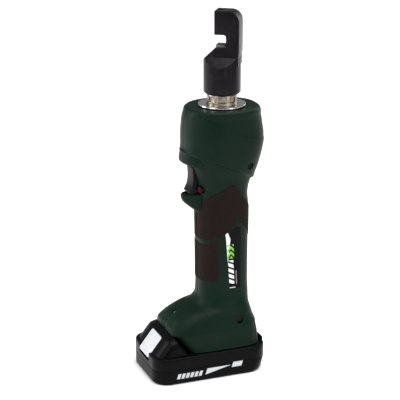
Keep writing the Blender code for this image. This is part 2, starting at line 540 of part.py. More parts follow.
def build_battery():
    """Two case halves around five cells, with a rail deck on top and a sloped nose for the release button."""
    half, front, back = BATTERY_HALF_WIDTH / MM, BATTERY_FRONT / MM, BATTERY_BACK / MM
    rings = []
    for z, inset in ((0, 2.2), (0.8, 1), (2.4, 0), (BATTERY_SPLIT / MM, 0)):
        rear = back - inset - max(0.0, 7 * (1 - z / 8))
        outline = rounded_plan(half - inset, front + inset, rear, 13)
        rings.append([Vector((a, b, z * MM)) for a, b in outline])
    lower = loft("battery_lower_case", rings, BLACK_PLASTIC)
    inside = rounded_plan(half - 2.4, front + 2.4, back - 7.5, 6)
    cut(lower, prism("lower_case_hollow", inside, 2.4 * MM, 20 * MM, None))

    split = BATTERY_SPLIT + GAP
    rings = []
    for z, inset in ((split / MM, 0), (25, 0), (26.2, 0.5), (BATTERY_TOP / MM, 1.6)):
        outline = rounded_plan(half - inset, front + inset, back - inset, 13)
        rings.append([Vector((a, b, z * MM)) for a, b in outline])
    upper = loft("battery_upper_case", rings, BLACK_PLASTIC)
    nose = ((-78.6, 22), (-64.5, 41), (-58.2, 43.2), (-46.4, 30.4), (-44.6, 22))
    neck = ((-22, 24), (22, 24), (22, 30), (-22, 30))
    rail = ((-25, 29.9), (25, 29.9), (25, 33.2), (-25, 33.2))
    join(
        upper,
        prism("nose_guide", [(a * MM, b * MM) for a, b in nose], -33 * MM, 33 * MM, None, SIDE_VIEW),
        prism("deck_neck_guide", [(a * MM, b * MM) for a, b in neck], -50 * MM, 24 * MM, None, ALONG_Y),
        prism("deck_rail_guide", [(a * MM, b * MM) for a, b in rail], -38 * MM, 24 * MM, None, ALONG_Y),
    )
    pocket = ((-85, 17.5), (-73.5, 17.5), (-58, 37), (-66, 46), (-85, 30))
    hollow_nose = ((-70, 20), (-70, 24), (-60.6, 37.6), (-57.6, 38.4), (-50, 30), (-50, 20))
    hollow_plan = rounded_plan(half - 2.4, front + 2.4, back - 2.4, 11)
    slots = [box(f"blade_slot_{x}", (x - 1.2, 4, 27.6), (x + 1.2, 40, 40)) for x in (-14, 0, 14)]
    cut(
        upper,
        prism("upper_case_hollow", hollow_plan, 10 * MM, 24.3 * MM, None),
        prism("nose_hollow", [(a * MM, b * MM) for a, b in hollow_nose], -30 * MM, -16 * MM, None, SIDE_VIEW),
        prism("nose_hollow_right", [(a * MM, b * MM) for a, b in hollow_nose], 16 * MM, 30 * MM, None, SIDE_VIEW),
        prism("button_pocket", [(a * MM, b * MM) for a, b in pocket], -13.9 * MM, 13.9 * MM, None, SIDE_VIEW),
        box("latch_way", (-5.5, -72, 20.6), (5.5, -37.6, 28)),
        box("hook_way", (-5.5, -43.6, 27), (5.5, -37.6, 36)),
        *slots,
    )
    button = ((-80.6, 22), (-66.2, 40.4), (-63.6, 38.4), (-77.6, 20.6))
    piece = prism("release_button", [(a * MM, b * MM) for a, b in button], -13.5 * MM, 13.5 * MM, GREY_PLASTIC,
                  SIDE_VIEW)
    bevel = piece.modifiers.new("Edges", "BEVEL")
    bevel.width = 0.5 * MM
    bevel.segments = 2
    join(piece, box("latch_arm", (-5, -75, 24.8), (5, -38, 26.9)), box("latch_hook", (-5, -43, 24.8), (5, -38, 33.2)))
    for number in range(5):
        centre = Vector((0, (-60.5 + 18.7 * number) * MM, 11.9 * MM))
        turned(f"battery_cell_{number + 1}", bar(9.1 * MM, -32.5 * MM, 32.5 * MM), CELL,
               along(Vector((1, 0, 0)), centre), 24)
    box("battery_board", (-24, -34, 22), (24, 20, 23.4), BOARD)
    spring("latch_spring", Vector((0, -71.6 * MM, 15.5 * MM)), Vector((0, 0, 1)), 2 * MM, 0.35 * MM, 9 * MM, 5,
           BRIGHT_STEEL)


def main():
    clear_scene()
    build_housing()
    build_neck()
    build_head()
    build_ram()
    build_gearbox()
    build_motor()
    build_pump()
    build_controls()
    build_terminals()
    build_battery()


main()
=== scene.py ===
"""Looks for the cordless hydraulic hand tool: moulded shell, rubber grip, steel head and battery."""

from math import atan, cos, pi, radians, sin, sqrt

import bmesh
import bpy
import numpy as np
from bpy.props import FloatProperty, FloatVectorProperty, PointerProperty
from mathutils import Matrix, Vector
from mathutils.geometry import delaunay_2d_cdt


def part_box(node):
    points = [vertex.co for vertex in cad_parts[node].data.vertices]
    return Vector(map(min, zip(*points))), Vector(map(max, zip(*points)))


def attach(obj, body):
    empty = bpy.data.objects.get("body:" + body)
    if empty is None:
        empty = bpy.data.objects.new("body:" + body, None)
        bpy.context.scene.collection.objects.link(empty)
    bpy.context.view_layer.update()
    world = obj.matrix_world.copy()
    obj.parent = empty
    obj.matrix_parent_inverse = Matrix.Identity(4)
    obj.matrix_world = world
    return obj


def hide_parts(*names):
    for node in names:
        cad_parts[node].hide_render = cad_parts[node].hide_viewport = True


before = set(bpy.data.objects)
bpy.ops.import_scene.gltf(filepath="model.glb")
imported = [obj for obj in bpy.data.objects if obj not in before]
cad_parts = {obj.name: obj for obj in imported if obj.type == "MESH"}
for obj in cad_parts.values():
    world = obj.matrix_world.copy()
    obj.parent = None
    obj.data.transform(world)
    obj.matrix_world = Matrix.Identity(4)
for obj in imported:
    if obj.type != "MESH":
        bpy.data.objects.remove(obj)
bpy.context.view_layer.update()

bl_info = {
    "name": "Hydraulic Hand Tool Looks",
    "version": (1, 0, 0),
    "blender": (4, 5, 0),
    "location": "3D View > Sidebar > Hand Tool",
    "description": "Builds the visible shells, grips, head and battery around the packed frame",
    "category": "Object",
}

MM = 0.001
BATTERY_LOW, BATTERY_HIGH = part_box("battery_lower_case")
NECK_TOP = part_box("neck_sleeve")[1][2]
HEAD_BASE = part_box("head_frame")[0][2]
WASHER_LOW, WASHER_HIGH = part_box("collar_washer")
WALL = 2.6 * MM
SEAM = 0.12 * MM
HEAD_TURN = radians(56)  # from +X to the C's arm, seen from above


# ---------------------------------------------------------------- sizes and colours a user would change


class ShellSettings(bpy.types.PropertyGroup):
    colour: FloatVectorProperty(
        name="Shell colour", description="Moulded shell's base colour", subtype="COLOR",
        default=(0.0030, 0.0132, 0.0075), min=0, max=1)
    pad_colour: FloatVectorProperty(
        name="Grip colour", description="Rubber grip's base colour", subtype="COLOR",
        default=(0.0110, 0.0066, 0.0058), min=0, max=1)
    pad_rise: FloatProperty(
        name="Grip rise", description="How far the rubber stands above the shell", unit="LENGTH",
        default=0.55 * MM, min=0, max=2 * MM)
    accent: FloatVectorProperty(
        name="Label accent", description="Bright stripe on the side label", subtype="COLOR",
        default=(0.22, 0.56, 0.05), min=0, max=1)


class BatterySettings(bpy.types.PropertyGroup):
    colour: FloatVectorProperty(
        name="Battery colour", description="Battery case's base colour", subtype="COLOR",
        default=(0.0022, 0.0022, 0.0026), min=0, max=1)
    button: FloatVectorProperty(
        name="Button colour", description="Release button's base colour", subtype="COLOR",
        default=(0.56, 0.57, 0.59), min=0, max=1)
    corner: FloatProperty(
        name="Corner radius", description="Battery's corner radius seen from above", unit="LENGTH",
        default=15 * MM, min=2 * MM, max=30 * MM)


class HeadSettings(bpy.types.PropertyGroup):
    colour: FloatVectorProperty(
        name="Head colour", description="Blackened steel's base colour", subtype="COLOR",
        default=(0.011, 0.0098, 0.0112), min=0, max=1)
    edge: FloatProperty(
        name="Edge break", description="Width of the small bevel on the head's edges", unit="LENGTH",
        default=0.45 * MM, min=0, max=2 * MM)


# ---------------------------------------------------------------- finishes


class Value:
    """A number that varies over a surface; Python's operators add Math nodes."""

    def __init__(self, finish, socket):
        self.finish = finish
        self.socket = socket

    def math(self, operation, *others, clamp=False):
        settings = {"operation": operation, "use_clamp": clamp}
        made = self.finish.node("ShaderNodeMath", settings, dict(enumerate((self, *others))))
        return Value(self.finish, made.outputs[0])

    def __add__(self, other):
        return self.math("ADD", other)

    def __sub__(self, other):
        return self.math("SUBTRACT", other)

    def __rsub__(self, other):
        return self.finish.number(other).math("SUBTRACT", self)

    def __mul__(self, other):
        return self.math("MULTIPLY", other)

    __radd__ = __add__
    __rmul__ = __mul__

    def above(self, edge, softness=0.1 * MM):
        """1 where the value is above an edge, 0 below it."""
        return ((self - edge) * (0.5 / softness) + 0.5).math("MULTIPLY", 1.0, clamp=True)

    def below(self, edge, softness=0.1 * MM):
        return 1 - self.above(edge, softness)

    def between(self, low, high, softness=0.1 * MM):
        return self.above(low, softness) * self.below(high, softness)


class Finish:
    """One material under construction: a Principled shader and the nodes that feed it."""

    def __init__(self, name):
        self.material = bpy.data.materials.new(name)
        self.material.use_nodes = True
        self.tree = self.material.node_tree
        self.shader = self.tree.nodes["Principled BSDF"]

    def node(self, kind, settings=None, inputs=None):
        made = self.tree.nodes.new(kind)
        for key, value in (settings or {}).items():
            if key == "stops":
                ramp = made.color_ramp
                while len(ramp.elements) < len(value):
                    ramp.elements.new(0.5)
                for stop, (position, colour) in zip(ramp.elements, value):
                    stop.position = position
                    stop.color = (*colour, 1.0)
            else:
                setattr(made, key, value)
        for key, value in (inputs or {}).items():
            self.feed(made.inputs[key], value)
        return made

    def feed(self, socket, value):
        if isinstance(value, Value):
            value = value.socket
        if isinstance(value, bpy.types.NodeSocket):
            self.tree.links.new(value, socket)
        else:
            socket.default_value = value

    def number(self, value):
        made = self.node("ShaderNodeValue")
        made.outputs[0].default_value = value
        return Value(self, made.outputs[0])

    def place(self):
        """The point's own position on the piece, in metres."""
        return self.node("ShaderNodeTexCoord").outputs["Object"]

    def axes(self):
        split = self.node("ShaderNodeSeparateXYZ", None, {0: self.place()})
        return [Value(self, split.outputs[n]) for n in range(3)]

    def noise(self, scale, detail=2.0, stretch=None, roughness=0.5):
        where = self.place()
        if stretch:
            settings = {"operation": "MULTIPLY"}
            where = self.node("ShaderNodeVectorMath", settings, {0: where, 1: stretch}).outputs[0]
        inputs = {"Vector": where, "Scale": scale, "Detail": detail, "Roughness": roughness}
        return Value(self, self.node("ShaderNodeTexNoise", None, inputs).outputs[0])

    def cells(self, scale):
        inputs = {"Vector": self.place(), "Scale": scale}
        return Value(self, self.node("ShaderNodeTexVoronoi", None, inputs).outputs["Distance"])

    def mix(self, share, low, high):
        settings = {"data_type": "RGBA", "clamp_factor": True}
        made = self.node("ShaderNodeMix", settings)
        self.feed(made.inputs[0], share)
        for socket, value in ((made.inputs[6], low), (made.inputs[7], high)):
            self.feed(socket, (*value, 1.0) if isinstance(value, tuple) else value)
        return made.outputs[2]

    def bump(self, height, strength, distance, under=None):
        inputs = {"Height": height, "Strength": strength, "Distance": distance}
        if under is not None:
            inputs["Normal"] = under
        return self.node("ShaderNodeBump", None, inputs).outputs[0]

    def set(self, **inputs):
        for name, value in inputs.items():
            self.feed(self.shader.inputs[name.replace("_", " ").title()], value)
        return self


def shade(colour, factor):
    return tuple(min(1.0, channel * factor) for channel in colour)


def moulded(name, colour, roughness, grain=900.0, depth=0.05 * MM, spread=0.18, strength=0.35):
    """Injection-moulded plastic: spark-eroded grain, soft mottling and faint handling marks."""
    made = Finish(name)
    mottle = made.noise(28.0, 4.0)
    fine = made.noise(grain, 3.0, roughness=0.65)
    rub = made.noise(90.0, 5.0, (1.0, 1.0, 0.25)).above(0.66, 0.06)
    tone = made.mix(mottle, shade(colour, 1 - spread), shade(colour, 1 + spread))
    tone = made.mix(rub * 0.12, tone, shade(colour, 2.4))
    made.set(base_color=tone, roughness=mottle * 0.10 + fine * 0.08 + (roughness - 0.09) - rub * 0.06)
    made.set(normal=made.bump(fine, strength, depth))
    made.shader.inputs["Specular IOR Level"].default_value = 0.08
    return made.material


def rubbery(name, colour, roughness=0.72):
    """Soft overmoulded rubber: a pebbled grain with dusty high spots."""
    made = Finish(name)
    pebble = made.cells(780.0)
    dust = made.noise(45.0, 6.0, roughness=0.7)
    tone = made.mix(dust.above(0.56, 0.10) * 0.35, colour, shade(colour, 2.1))
    tone = made.mix(pebble * 0.5, tone, shade(colour, 1.6))
    made.set(base_color=tone, roughness=dust * 0.12 + (roughness - 0.05))
    made.set(normal=made.bump(pebble, 0.32, 0.10 * MM))
    made.shader.inputs["Specular IOR Level"].default_value = 0.06
    return made.material


def metal(name, colour, roughness, stretch=(1.0, 1.0, 14.0), scale=120.0, tarnish=0.12, mark=0.05):
    """Machined metal: fine tool lines along one way, a little tarnish and a few scratches."""
    made = Finish(name)
    lines = made.noise(scale * 6, 3.0, stretch, 0.6)
    stain = made.noise(60.0, 5.0)
    scratch = made.noise(260.0, 2.0, (1.0, 6.0, 0.4)).between(0.505, 0.515, 0.004)
    tone = made.mix(stain, shade(colour, 1 - tarnish), shade(colour, 1 + tarnish))
    made.set(base_color=tone, metallic=1.0)
    made.set(roughness=stain * 0.12 + lines * 0.10 + (roughness - 0.11) + scratch * mark)
    made.set(normal=made.bump(lines, 0.12, 0.02 * MM))
    return made.material


def blackened(name, colour):
    """Black-oxide steel: a dark oiled skin with paler rubbed facets and a grainy surface."""
    made = Finish(name)
    cloud = made.noise(55.0, 6.0, roughness=0.6)
    grit = made.noise(1400.0, 2.0)
    rub = made.noise(160.0, 4.0, (1.0, 1.0, 0.5)).above(0.60, 0.05)
    tone = made.mix(cloud, shade(colour, 0.65), shade(colour, 1.6))
    tone = made.mix(rub * 0.16, tone, (0.050, 0.044, 0.048))
    made.set(base_color=tone, metallic=0.85, roughness=cloud * 0.14 + grit * 0.08 + 0.24)
    made.set(normal=made.bump(grit, 0.16, 0.03 * MM))
    made.shader.inputs["Specular IOR Level"].default_value = 0.12
    return made.material


def spring_wire(name):
    made = Finish(name)
    lines = made.noise(900.0, 2.0)
    made.set(base_color=made.mix(lines, (0.30, 0.30, 0.31), (0.52, 0.52, 0.54)), metallic=1.0)
    made.set(roughness=lines * 0.2 + 0.22)
    return made.material


def board_finish(name):
    """Circuit board: green mask with fine copper runs under it."""
    made = Finish(name)
    x, y, z = made.axes()
    tracks = (x * 900.0 + made.noise(70.0, 1.0) * 6.0).math("SINE").above(0.72, 0.1)
    pads = made.cells(260.0).below(0.16, 0.03)
    tone = made.mix(tracks * 0.6, (0.010, 0.085, 0.040), (0.030, 0.190, 0.085))
    tone = made.mix(pads, tone, (0.60, 0.48, 0.22))
    made.set(base_color=tone, roughness=0.42 - pads * 0.15, normal=made.bump(tracks, 0.2, 0.05 * MM))
    return made.material


def lens_finish(name):
    made = Finish(name)
    haze = made.noise(300.0, 2.0)
    made.set(base_color=made.mix(haze, (0.05, 0.06, 0.055), (0.10, 0.12, 0.11)),
             roughness=haze * 0.08 + 0.06)
    return made.material


def label_finish(name, accent):
    """Glossy black film printed with plain wedges, chevrons and blocks."""
    made = Finish(name)
    x, y, z = made.axes()
    lean = (z - 115 * MM) * 0.055
    across = y + lean
    grain = made.noise(700.0, 2.0)
    tone = made.mix(grain, (0.0024, 0.0024, 0.0028), (0.0050, 0.0050, 0.0056))
    foot = (z - 84 * MM).math("MULTIPLY", 0.5)
    wedge = (across + 6.1 * MM).above(0.0) * ((z - 104 * MM) * 0.16 - across - 3.2 * MM).above(0.0)
    wedge = wedge * z.below(141.2 * MM) * ((141 * MM - z) * 0.35 - across - 0.6 * MM).above(0.0)
    tone = made.mix(wedge, tone, (0.80, 0.81, 0.80))
    band = across.between(-5.0 * MM, -2.4 * MM) * z.between(86 * MM, 104 * MM)
    fade = ((z - 86 * MM) * 55.0).math("MULTIPLY", 1.0, clamp=True)
    tone = made.mix(band * (0.9 - fade * 0.5), tone, shade(accent, 0.45))
    chevron = (across - 1.6 * MM).math("ABSOLUTE") * 1.1 + z
    stripe = chevron.math("MODULO", 5.2 * MM).below(2.9 * MM)
    stripe = stripe * across.between(-2.0 * MM, 4.6 * MM) * z.between(115 * MM, 129 * MM)
    tone = made.mix(stripe, tone, accent)
    block = (z + across * 0.5).math("MODULO", 5.6 * MM).below(3.6 * MM)
    block = block * across.between(-1.8 * MM, 3.6 * MM) * z.between(89 * MM, 113 * MM)
    tone = made.mix(block, tone, (0.80, 0.81, 0.80))
    fine = across.between(5.6 * MM, 6.3 * MM) * z.between(88 * MM, 102 * MM)
    tone = made.mix(fine * 0.6, tone, (0.55, 0.56, 0.56))
    line = across.between(-2.4 * MM, 4.4 * MM) * foot.between(0.35 * MM, 0.75 * MM)
    tone = made.mix(line, tone, (0.70, 0.71, 0.70))
    made.set(base_color=tone, roughness=grain * 0.10 + 0.20)
    made.shader.inputs["Specular IOR Level"].default_value = 0.06
    return made.material


def battery_finish(name, colour):
    """Semi-gloss moulded case with a satin grain and a plain printed strip on each side."""
    made = Finish(name)
    x, y, z = made.axes()
    mottle = made.noise(40.0, 4.0)
    fine = made.noise(1200.0, 3.0, roughness=0.6)
    tone = made.mix(mottle, shade(colour, 0.75), shade(colour, 1.3))
    side = x.math("ABSOLUTE").above(36.6 * MM, 0.2 * MM)
    lean = y - z * 0.35
    bar = z.between(5.6 * MM, 10.6 * MM, 0.15 * MM) * lean.between(-62 * MM, -36 * MM, 0.15 * MM)
    notch = (lean + 62 * MM).math("MODULO", 4.4 * MM).below(3.1 * MM, 0.15 * MM)
    tail = z.between(5.8 * MM, 12.0 * MM, 0.15 * MM) * lean.between(-33 * MM, -9 * MM, 0.15 * MM)
    tail = tail * (z - (lean + 33 * MM) * 0.25 - 5.9 * MM).above(0.0, 0.15 * MM)
    block = z.between(9.4 * MM, 14.6 * MM, 0.15 * MM) * lean.between(-7 * MM, 3 * MM, 0.15 * MM)
    printed = (bar * notch + tail + block).math("MULTIPLY", 1.0, clamp=True) * side
    tone = made.mix(printed, tone, (0.62, 0.63, 0.64))
    made.set(base_color=tone, roughness=mottle * 0.08 + fine * 0.08 + 0.24)
    made.set(normal=made.bump(fine, 0.22, 0.03 * MM))
    made.shader.inputs["Specular IOR Level"].default_value = 0.06
    return made.material


# ---------------------------------------------------------------- meshes


def add_mesh(name, points, faces, sharp=32.0):
    """A mesh object in the row's frame, shaded smooth with crisp edges kept."""
    mesh = bpy.data.meshes.new(name)
    mesh.from_pydata([tuple(point) for point in points], [], [tuple(face) for face in faces])
    data = bmesh.new()
    data.from_mesh(mesh)
    bmesh.ops.recalc_face_normals(data, faces=data.faces)
    data.to_mesh(mesh)
    data.free()
    made = bpy.data.objects.new(name, mesh)
    bpy.context.scene.collection.objects.link(made)
    smooth(made, sharp)
    return made


def smooth(piece, sharp=32.0):
    piece.data.shade_smooth()
    piece.data.set_sharp_from_angle(angle=radians(sharp))


def skin_rings(name, rings, sharp=32.0):
    """A closed skin over rings of equal length, capped at both ends."""
    count = len(rings[0])
    points = [point for ring in rings for point in ring]
    faces = []
    for row in range(len(rings) - 1):
        for i in range(count):
            j = (i + 1) % count
            faces.append((row * count + i, row * count + j, (row + 1) * count + j, (row + 1) * count + i))
    faces.append(range(count))
    last = (len(rings) - 1) * count
    faces.append(range(last, last + count))
    return add_mesh(name, points, faces, sharp)


def slab(name, outline, low, high, place=None, edge=0.0, segments=3):
    """An outline of (a, b) pairs given a thickness and a rounded edge; place sets it in the row's frame."""
    place = place or Matrix.Identity(4)
    rings = [[place @ Vector((a, b, depth)) for a, b in outline] for depth in (low, high)]
    made = skin_rings(name, rings)
    if edge:
        bevel(made, edge, segments)
    return made


def bevel(piece, width, segments=3, limit=30.0):
    step = piece.modifiers.new("Edge", "BEVEL")
    step.width = width
    step.segments = segments
    step.limit_method = "ANGLE"
    step.angle_limit = radians(limit)
    step.use_clamp_overlap = True
    settle(piece)


def settle(piece, sharp=32.0):
    """Applies the piece's modifiers to its mesh."""
    seen = piece.evaluated_get(bpy.context.evaluated_depsgraph_get())
    mesh = bpy.data.meshes.new_from_object(seen)
    piece.modifiers.clear()
    old = piece.data
    piece.data = mesh
    bpy.data.meshes.remove(old)
    smooth(piece, sharp)


def carve(piece, tools, operation="DIFFERENCE", solver="EXACT"):
    """Cuts with, or adds, other meshes and removes them."""
    for tool in tools:
        step = piece.modifiers.new("Carve", "BOOLEAN")
        step.operation = operation
        step.solver = solver
        step.object = tool
    settle(piece)
    for tool in tools:
        bpy.data.objects.remove(tool, do_unlink=True)


def weld(name, pieces):
    """Several meshes as one object."""
    data = bmesh.new()
    for piece in pieces:
        data.from_mesh(piece.data)
        bpy.data.objects.remove(piece, do_unlink=True)
    mesh = bpy.data.meshes.new(name)
    data.to_mesh(mesh)
    data.free()
    made = bpy.data.objects.new(name, mesh)
    bpy.context.scene.collection.objects.link(made)
    smooth(made)
    return made


def lathe(name, profile, place=None, steps=96, sharp=32.0):
    """A closed outline of (radius, height) pairs turned about the place's Z axis; all radii above zero."""
    place = place or Matrix.Identity(4)
    count = len(profile)
    points = []
    for i in range(steps):
        angle = 2 * pi * i / steps
        points += [place @ Vector((radius * cos(angle), radius * sin(angle), z)) for radius, z in profile]
    faces = []
    for i in range(steps):
        j = (i + 1) % steps
        for k in range(count):
            m = (k + 1) % count
            faces.append((i * count + k, j * count + k, j * count + m, i * count + m))
    return add_mesh(name, points, faces, sharp)


def rod(name, radius, low, high, place=None, steps=48, edge=0.0):
    """A solid round bar with broken edges."""
    place = place or Matrix.Identity(4)
    heights = [(low, radius - edge), (low + edge, radius), (high - edge, radius), (high, radius - edge)]
    if not edge:
        heights = [(low, radius), (high, radius)]
    rings = [
        [place @ Vector((r * cos(2 * pi * i / steps), r * sin(2 * pi * i / steps),
                         z)) for i in range(steps)]
        for z, r in heights
    ]
    return skin_rings(name, rings)


def along(direction, centre):
    """A place at a centre whose Z runs along a direction."""
    return Matrix.Translation(centre) @ Vector(direction).to_track_quat("Z", "Y").to_matrix().to_4x4()


def arc(centre, radius, start, end, steps=8):
    """Points of an arc in a plane; angles in degrees."""
    angles = [radians(start + (end - start) * i / steps) for i in range(steps + 1)]
    return [(centre[0] + radius * cos(a), centre[1] + radius * sin(a)) for a in angles]


def rounded_rectangle(left, right, low, high, radius, steps=6):
    return (
        arc((right - radius, high - radius), radius, 0, 90, steps)
        + arc((left + radius, high - radius), radius, 90, 180, steps)
        + arc((left + radius, low + radius), radius, 180, 270, steps)
        + arc((right - radius, low + radius), radius, 270, 360, steps)
    )


def in_mm(points):
    return [tuple(value * MM for value in point) for point in points]


SIDE_VIEW = Matrix(((0, 0, 1, 0), (1, 0, 0, 0), (0, 1, 0, 0), (0, 0, 0, 1)))  # (a, b, depth) is (y, z, x)
FRONT_VIEW = Matrix(((1, 0, 0, 0), (0, 0, 1, 0), (0, 1, 0, 0), (0, 0, 0, 1)))  # (a, b, depth) is (x, z, y)
HEAD_PLACE = Matrix.Rotation(HEAD_TURN, 4, "Z")
HEAD_PLATE = HEAD_PLACE @ FRONT_VIEW  # (towards the arm, z, across the plate)
HEAD_SECTION = HEAD_PLACE @ SIDE_VIEW  # (across the plate, z, towards the arm)


# ---------------------------------------------------------------- the shell's surface

BACK_SQUARE = 2.6  # the shell's rear corners stay rounder than its front ones
# Heights in mm at which the inner wall takes a ring, from the top down
INNER_WALL_HEIGHTS = (
    258.4, 256, 246, 233, 221, 214, 206, 198, 190, 182, 172, 130, 90, 79, 74, 70, 66, 62, 58, 53, 48, 43.5,
    38, 33,
    27)
# Height, front, back, half width in mm, and squareness
STATIONS = np.array((
    (27, 43, 31, 33.5, 9), (38, 52, 30.5, 33.5, 7), (43.5, 57, 30, 33.5, 5.5), (44.5, 60.5, 30, 33.5, 5),
    (48, 60.5, 30, 33, 4.5), (54, 57, 28, 32, 3.5), (62, 46, 26, 29.5, 2.7), (67, 31, 25, 26.5, 2.5),
    (76, 25, 25, 22.5, 2.6), (90, 24.5, 24.5, 21.5, 2.6), (172, 25.5, 25, 21.5, 2.6),
    (190, 28, 29, 24.5, 2.5),
    (206, 34, 34, 30, 2.5), (214, 38, 36, 32, 2.5), (221, 39, 38, 33, 2.4), (233, 39, 40, 33.5, 2.4),
    (246, 38.5, 38.5, 33, 2.3), (256, 37, 37, 32.5, 2.2), (259.5, 35.5, 35.5, 32, 2.2),
    (261, 33.5, 33.5, 30, 2.2),
))


def monotone(x, known_x, known_y):
    """Smooth interpolation that never overshoots its known points."""
    step = np.diff(known_x)
    slope = np.diff(known_y) / step
    inner = np.where(slope[1:] * slope[:-1] > 0,
                     2 * slope[1:] * slope[:-1] / (slope[1:] + slope[:-1] + 1e-12), 0)
    slopes = np.concatenate(([slope[0]], inner, [slope[-1]]))
    index = np.clip(np.searchsorted(known_x, x) - 1, 0, len(known_x) - 2)
    share = np.clip((x - known_x[index]) / step[index], 0, 1)
    a = (1 + 2 * share) * (1 - share) ** 2
    b = share * (1 - share) ** 2
    c = share**2 * (3 - 2 * share)
    d = share**2 * (share - 1)
    width = step[index]
    here = a * known_y[index] + b * width * slopes[index]
    return here + c * known_y[index + 1] + d * width * slopes[index + 1]


def rise(t):
    t = np.clip(t, 0, 1)
    return t * t * (3 - 2 * t)


CREASE_ANGLES = np.array((-90.0, -52.0, -22.0, 10.0, 39.0, 65.0, 90.0))
SHOULDER = np.array((219.5, 218.0, 211.0, 203.5, 197.0, 191.5, 189.0))
COLLAR = np.array((259.0, 255.0, 246.5, 239.0, 233.5, 230.0, 228.5))


def relief(turn, z):
    """How far the shell's details stand in or out, in mm, for an angle in degrees and a height in mm."""
    under = monotone(turn, CREASE_ANGLES, SHOULDER) - z
    height = -2.1 * rise(under / 1.8) * (1 - rise((under - 5) / 24))
    height += 0.35 * np.exp(-(((under + 1.6) / 2.2) ** 2))
    over = z - monotone(turn, CREASE_ANGLES, COLLAR)
    height += -0.9 * rise(over / 1.3) * (1 - rise((z - 252) / 7))
    height += -0.3 * rise((over + 6) / 6) * (1 - rise(over / 1.3))
    return height


def panel_depth(y, z):
    """The flat side panel on the foot, sunk below a raised brow."""
    top = 61.0 - 0.0052 * (y + 3) ** 2
    return -0.9 * rise((top - z) / 0.9) * rise((27 - y) / 3) * rise((z - 27.6) / 1.2)


def front_facets(x, y, z):
    """The foot's front: a sunk middle field and a narrow strip that widens from the work light downwards."""
    fade = rise((z - 43) / 2) * rise((66 - z) / 12) * rise((-30 - y) / 6)
    strip = 2.4 + (60 - z) * 0.2
    field = -0.8 * (1 - rise((x - 19.2 - (z - 46) * 0.06) / 1.1))
    return fade * (field - 0.55 * (1 - rise((x - strip) / 0.5)))


def shell_point(turn, z, offset=0.0):
    """Points (x, y) of the right half in mm; turn runs from -90 at the front to 90 at the back."""
    turn, z = np.broadcast_arrays(np.asarray(turn, float), np.asarray(z, float))
    columns = [monotone(z, STATIONS[:, 0], STATIONS[:, k]) for k in (1, 2, 3, 4)]
    stand = relief(turn, z) + offset
    front, back, half = (column + stand for column in columns[:3])
    c, s = np.cos(np.radians(turn)), np.sin(np.radians(turn))
    depth = np.where(s > 0, back, front)
    rear_square = BACK_SQUARE + 0.3 * (columns[3] - BACK_SQUARE)
    square = np.where(s > 0, np.minimum(columns[3], rear_square), columns[3])
    square = columns[3] + (square - columns[3]) * rise(s * 4)
    reach = (np.abs(c / half) ** square + np.abs(s / depth) ** square) ** (-1 / square)
    x, y = reach * c, reach * s
    x = x + panel_depth(y, z) * rise((x - 24) / 5)
    y = y - front_facets(x, y, z)
    return np.maximum(x, 0), y


def shell_columns(count):
    """Angles from front to back, closer together beside the parting line."""
    middle = np.linspace(-88.2, 88.2, count)
    edge = np.array((-90, -89.6, -89.2, -88.8))
    return np.concatenate((edge, middle, -edge[::-1]))


def shell_half(name, side):
    """Half of the clamshell: outer skin, rolled top, neck opening and inner wall, up to the parting line."""
    turns = shell_columns(150)
    heights = np.concatenate((
        [27, 27.15, 27.5], np.arange(28.2, 60, 0.85), np.arange(60, 186, 1.3), np.arange(186, 259.2, 0.75),
        [259.4, 260.0, 260.45, 260.8, 261]))
    outer_offset = np.zeros(len(heights))
    outer_offset[:2] = (-0.5, -0.12)
    loop = []
    for z, offset in zip(heights, outer_offset):
        x, y = shell_point(turns, np.full(len(turns), z), offset)
        groove = 0.28 * (1 - rise(x / 0.55))
        length = np.maximum(np.hypot(x, y), 1e-6)
        loop.append(np.stack((x, y - groove * y / length, np.full(len(turns), z)), 1))
    ring = np.stack((np.cos(np.radians(turns)), np.sin(np.radians(turns))), 1)
    edge = loop[-1]
    for radius, z in ((24.4, 261), (23.9, 260.5), (22.9, 260.5), (22.9, 260.2), (17.6, 260.2),
                      (17.6, 258.4)):
        loop.append(np.concatenate((ring * radius, np.full((len(turns), 1), z)), 1))
    for z in INNER_WALL_HEIGHTS:
        x, y = shell_point(turns, np.full(len(turns), z), -WALL / MM)
        loop.append(np.stack((x, y, np.full(len(turns), z)), 1))
    grid = np.array(loop) * MM
    grid[..., 0] = side * (grid[..., 0] + SEAM)
    rows, columns = grid.shape[:2]
    points = grid.reshape(-1, 3)
    faces = []
    for i in range(rows):
        j = (i + 1) % rows
        for k in range(columns - 1):
            faces.append((i * columns + k, i * columns + k + 1, j * columns + k + 1, j * columns + k))
    faces.append([i * columns for i in range(rows)])
    faces.append([i * columns + columns - 1 for i in range(rows)])
    return add_mesh(name, points, faces, 40.0)


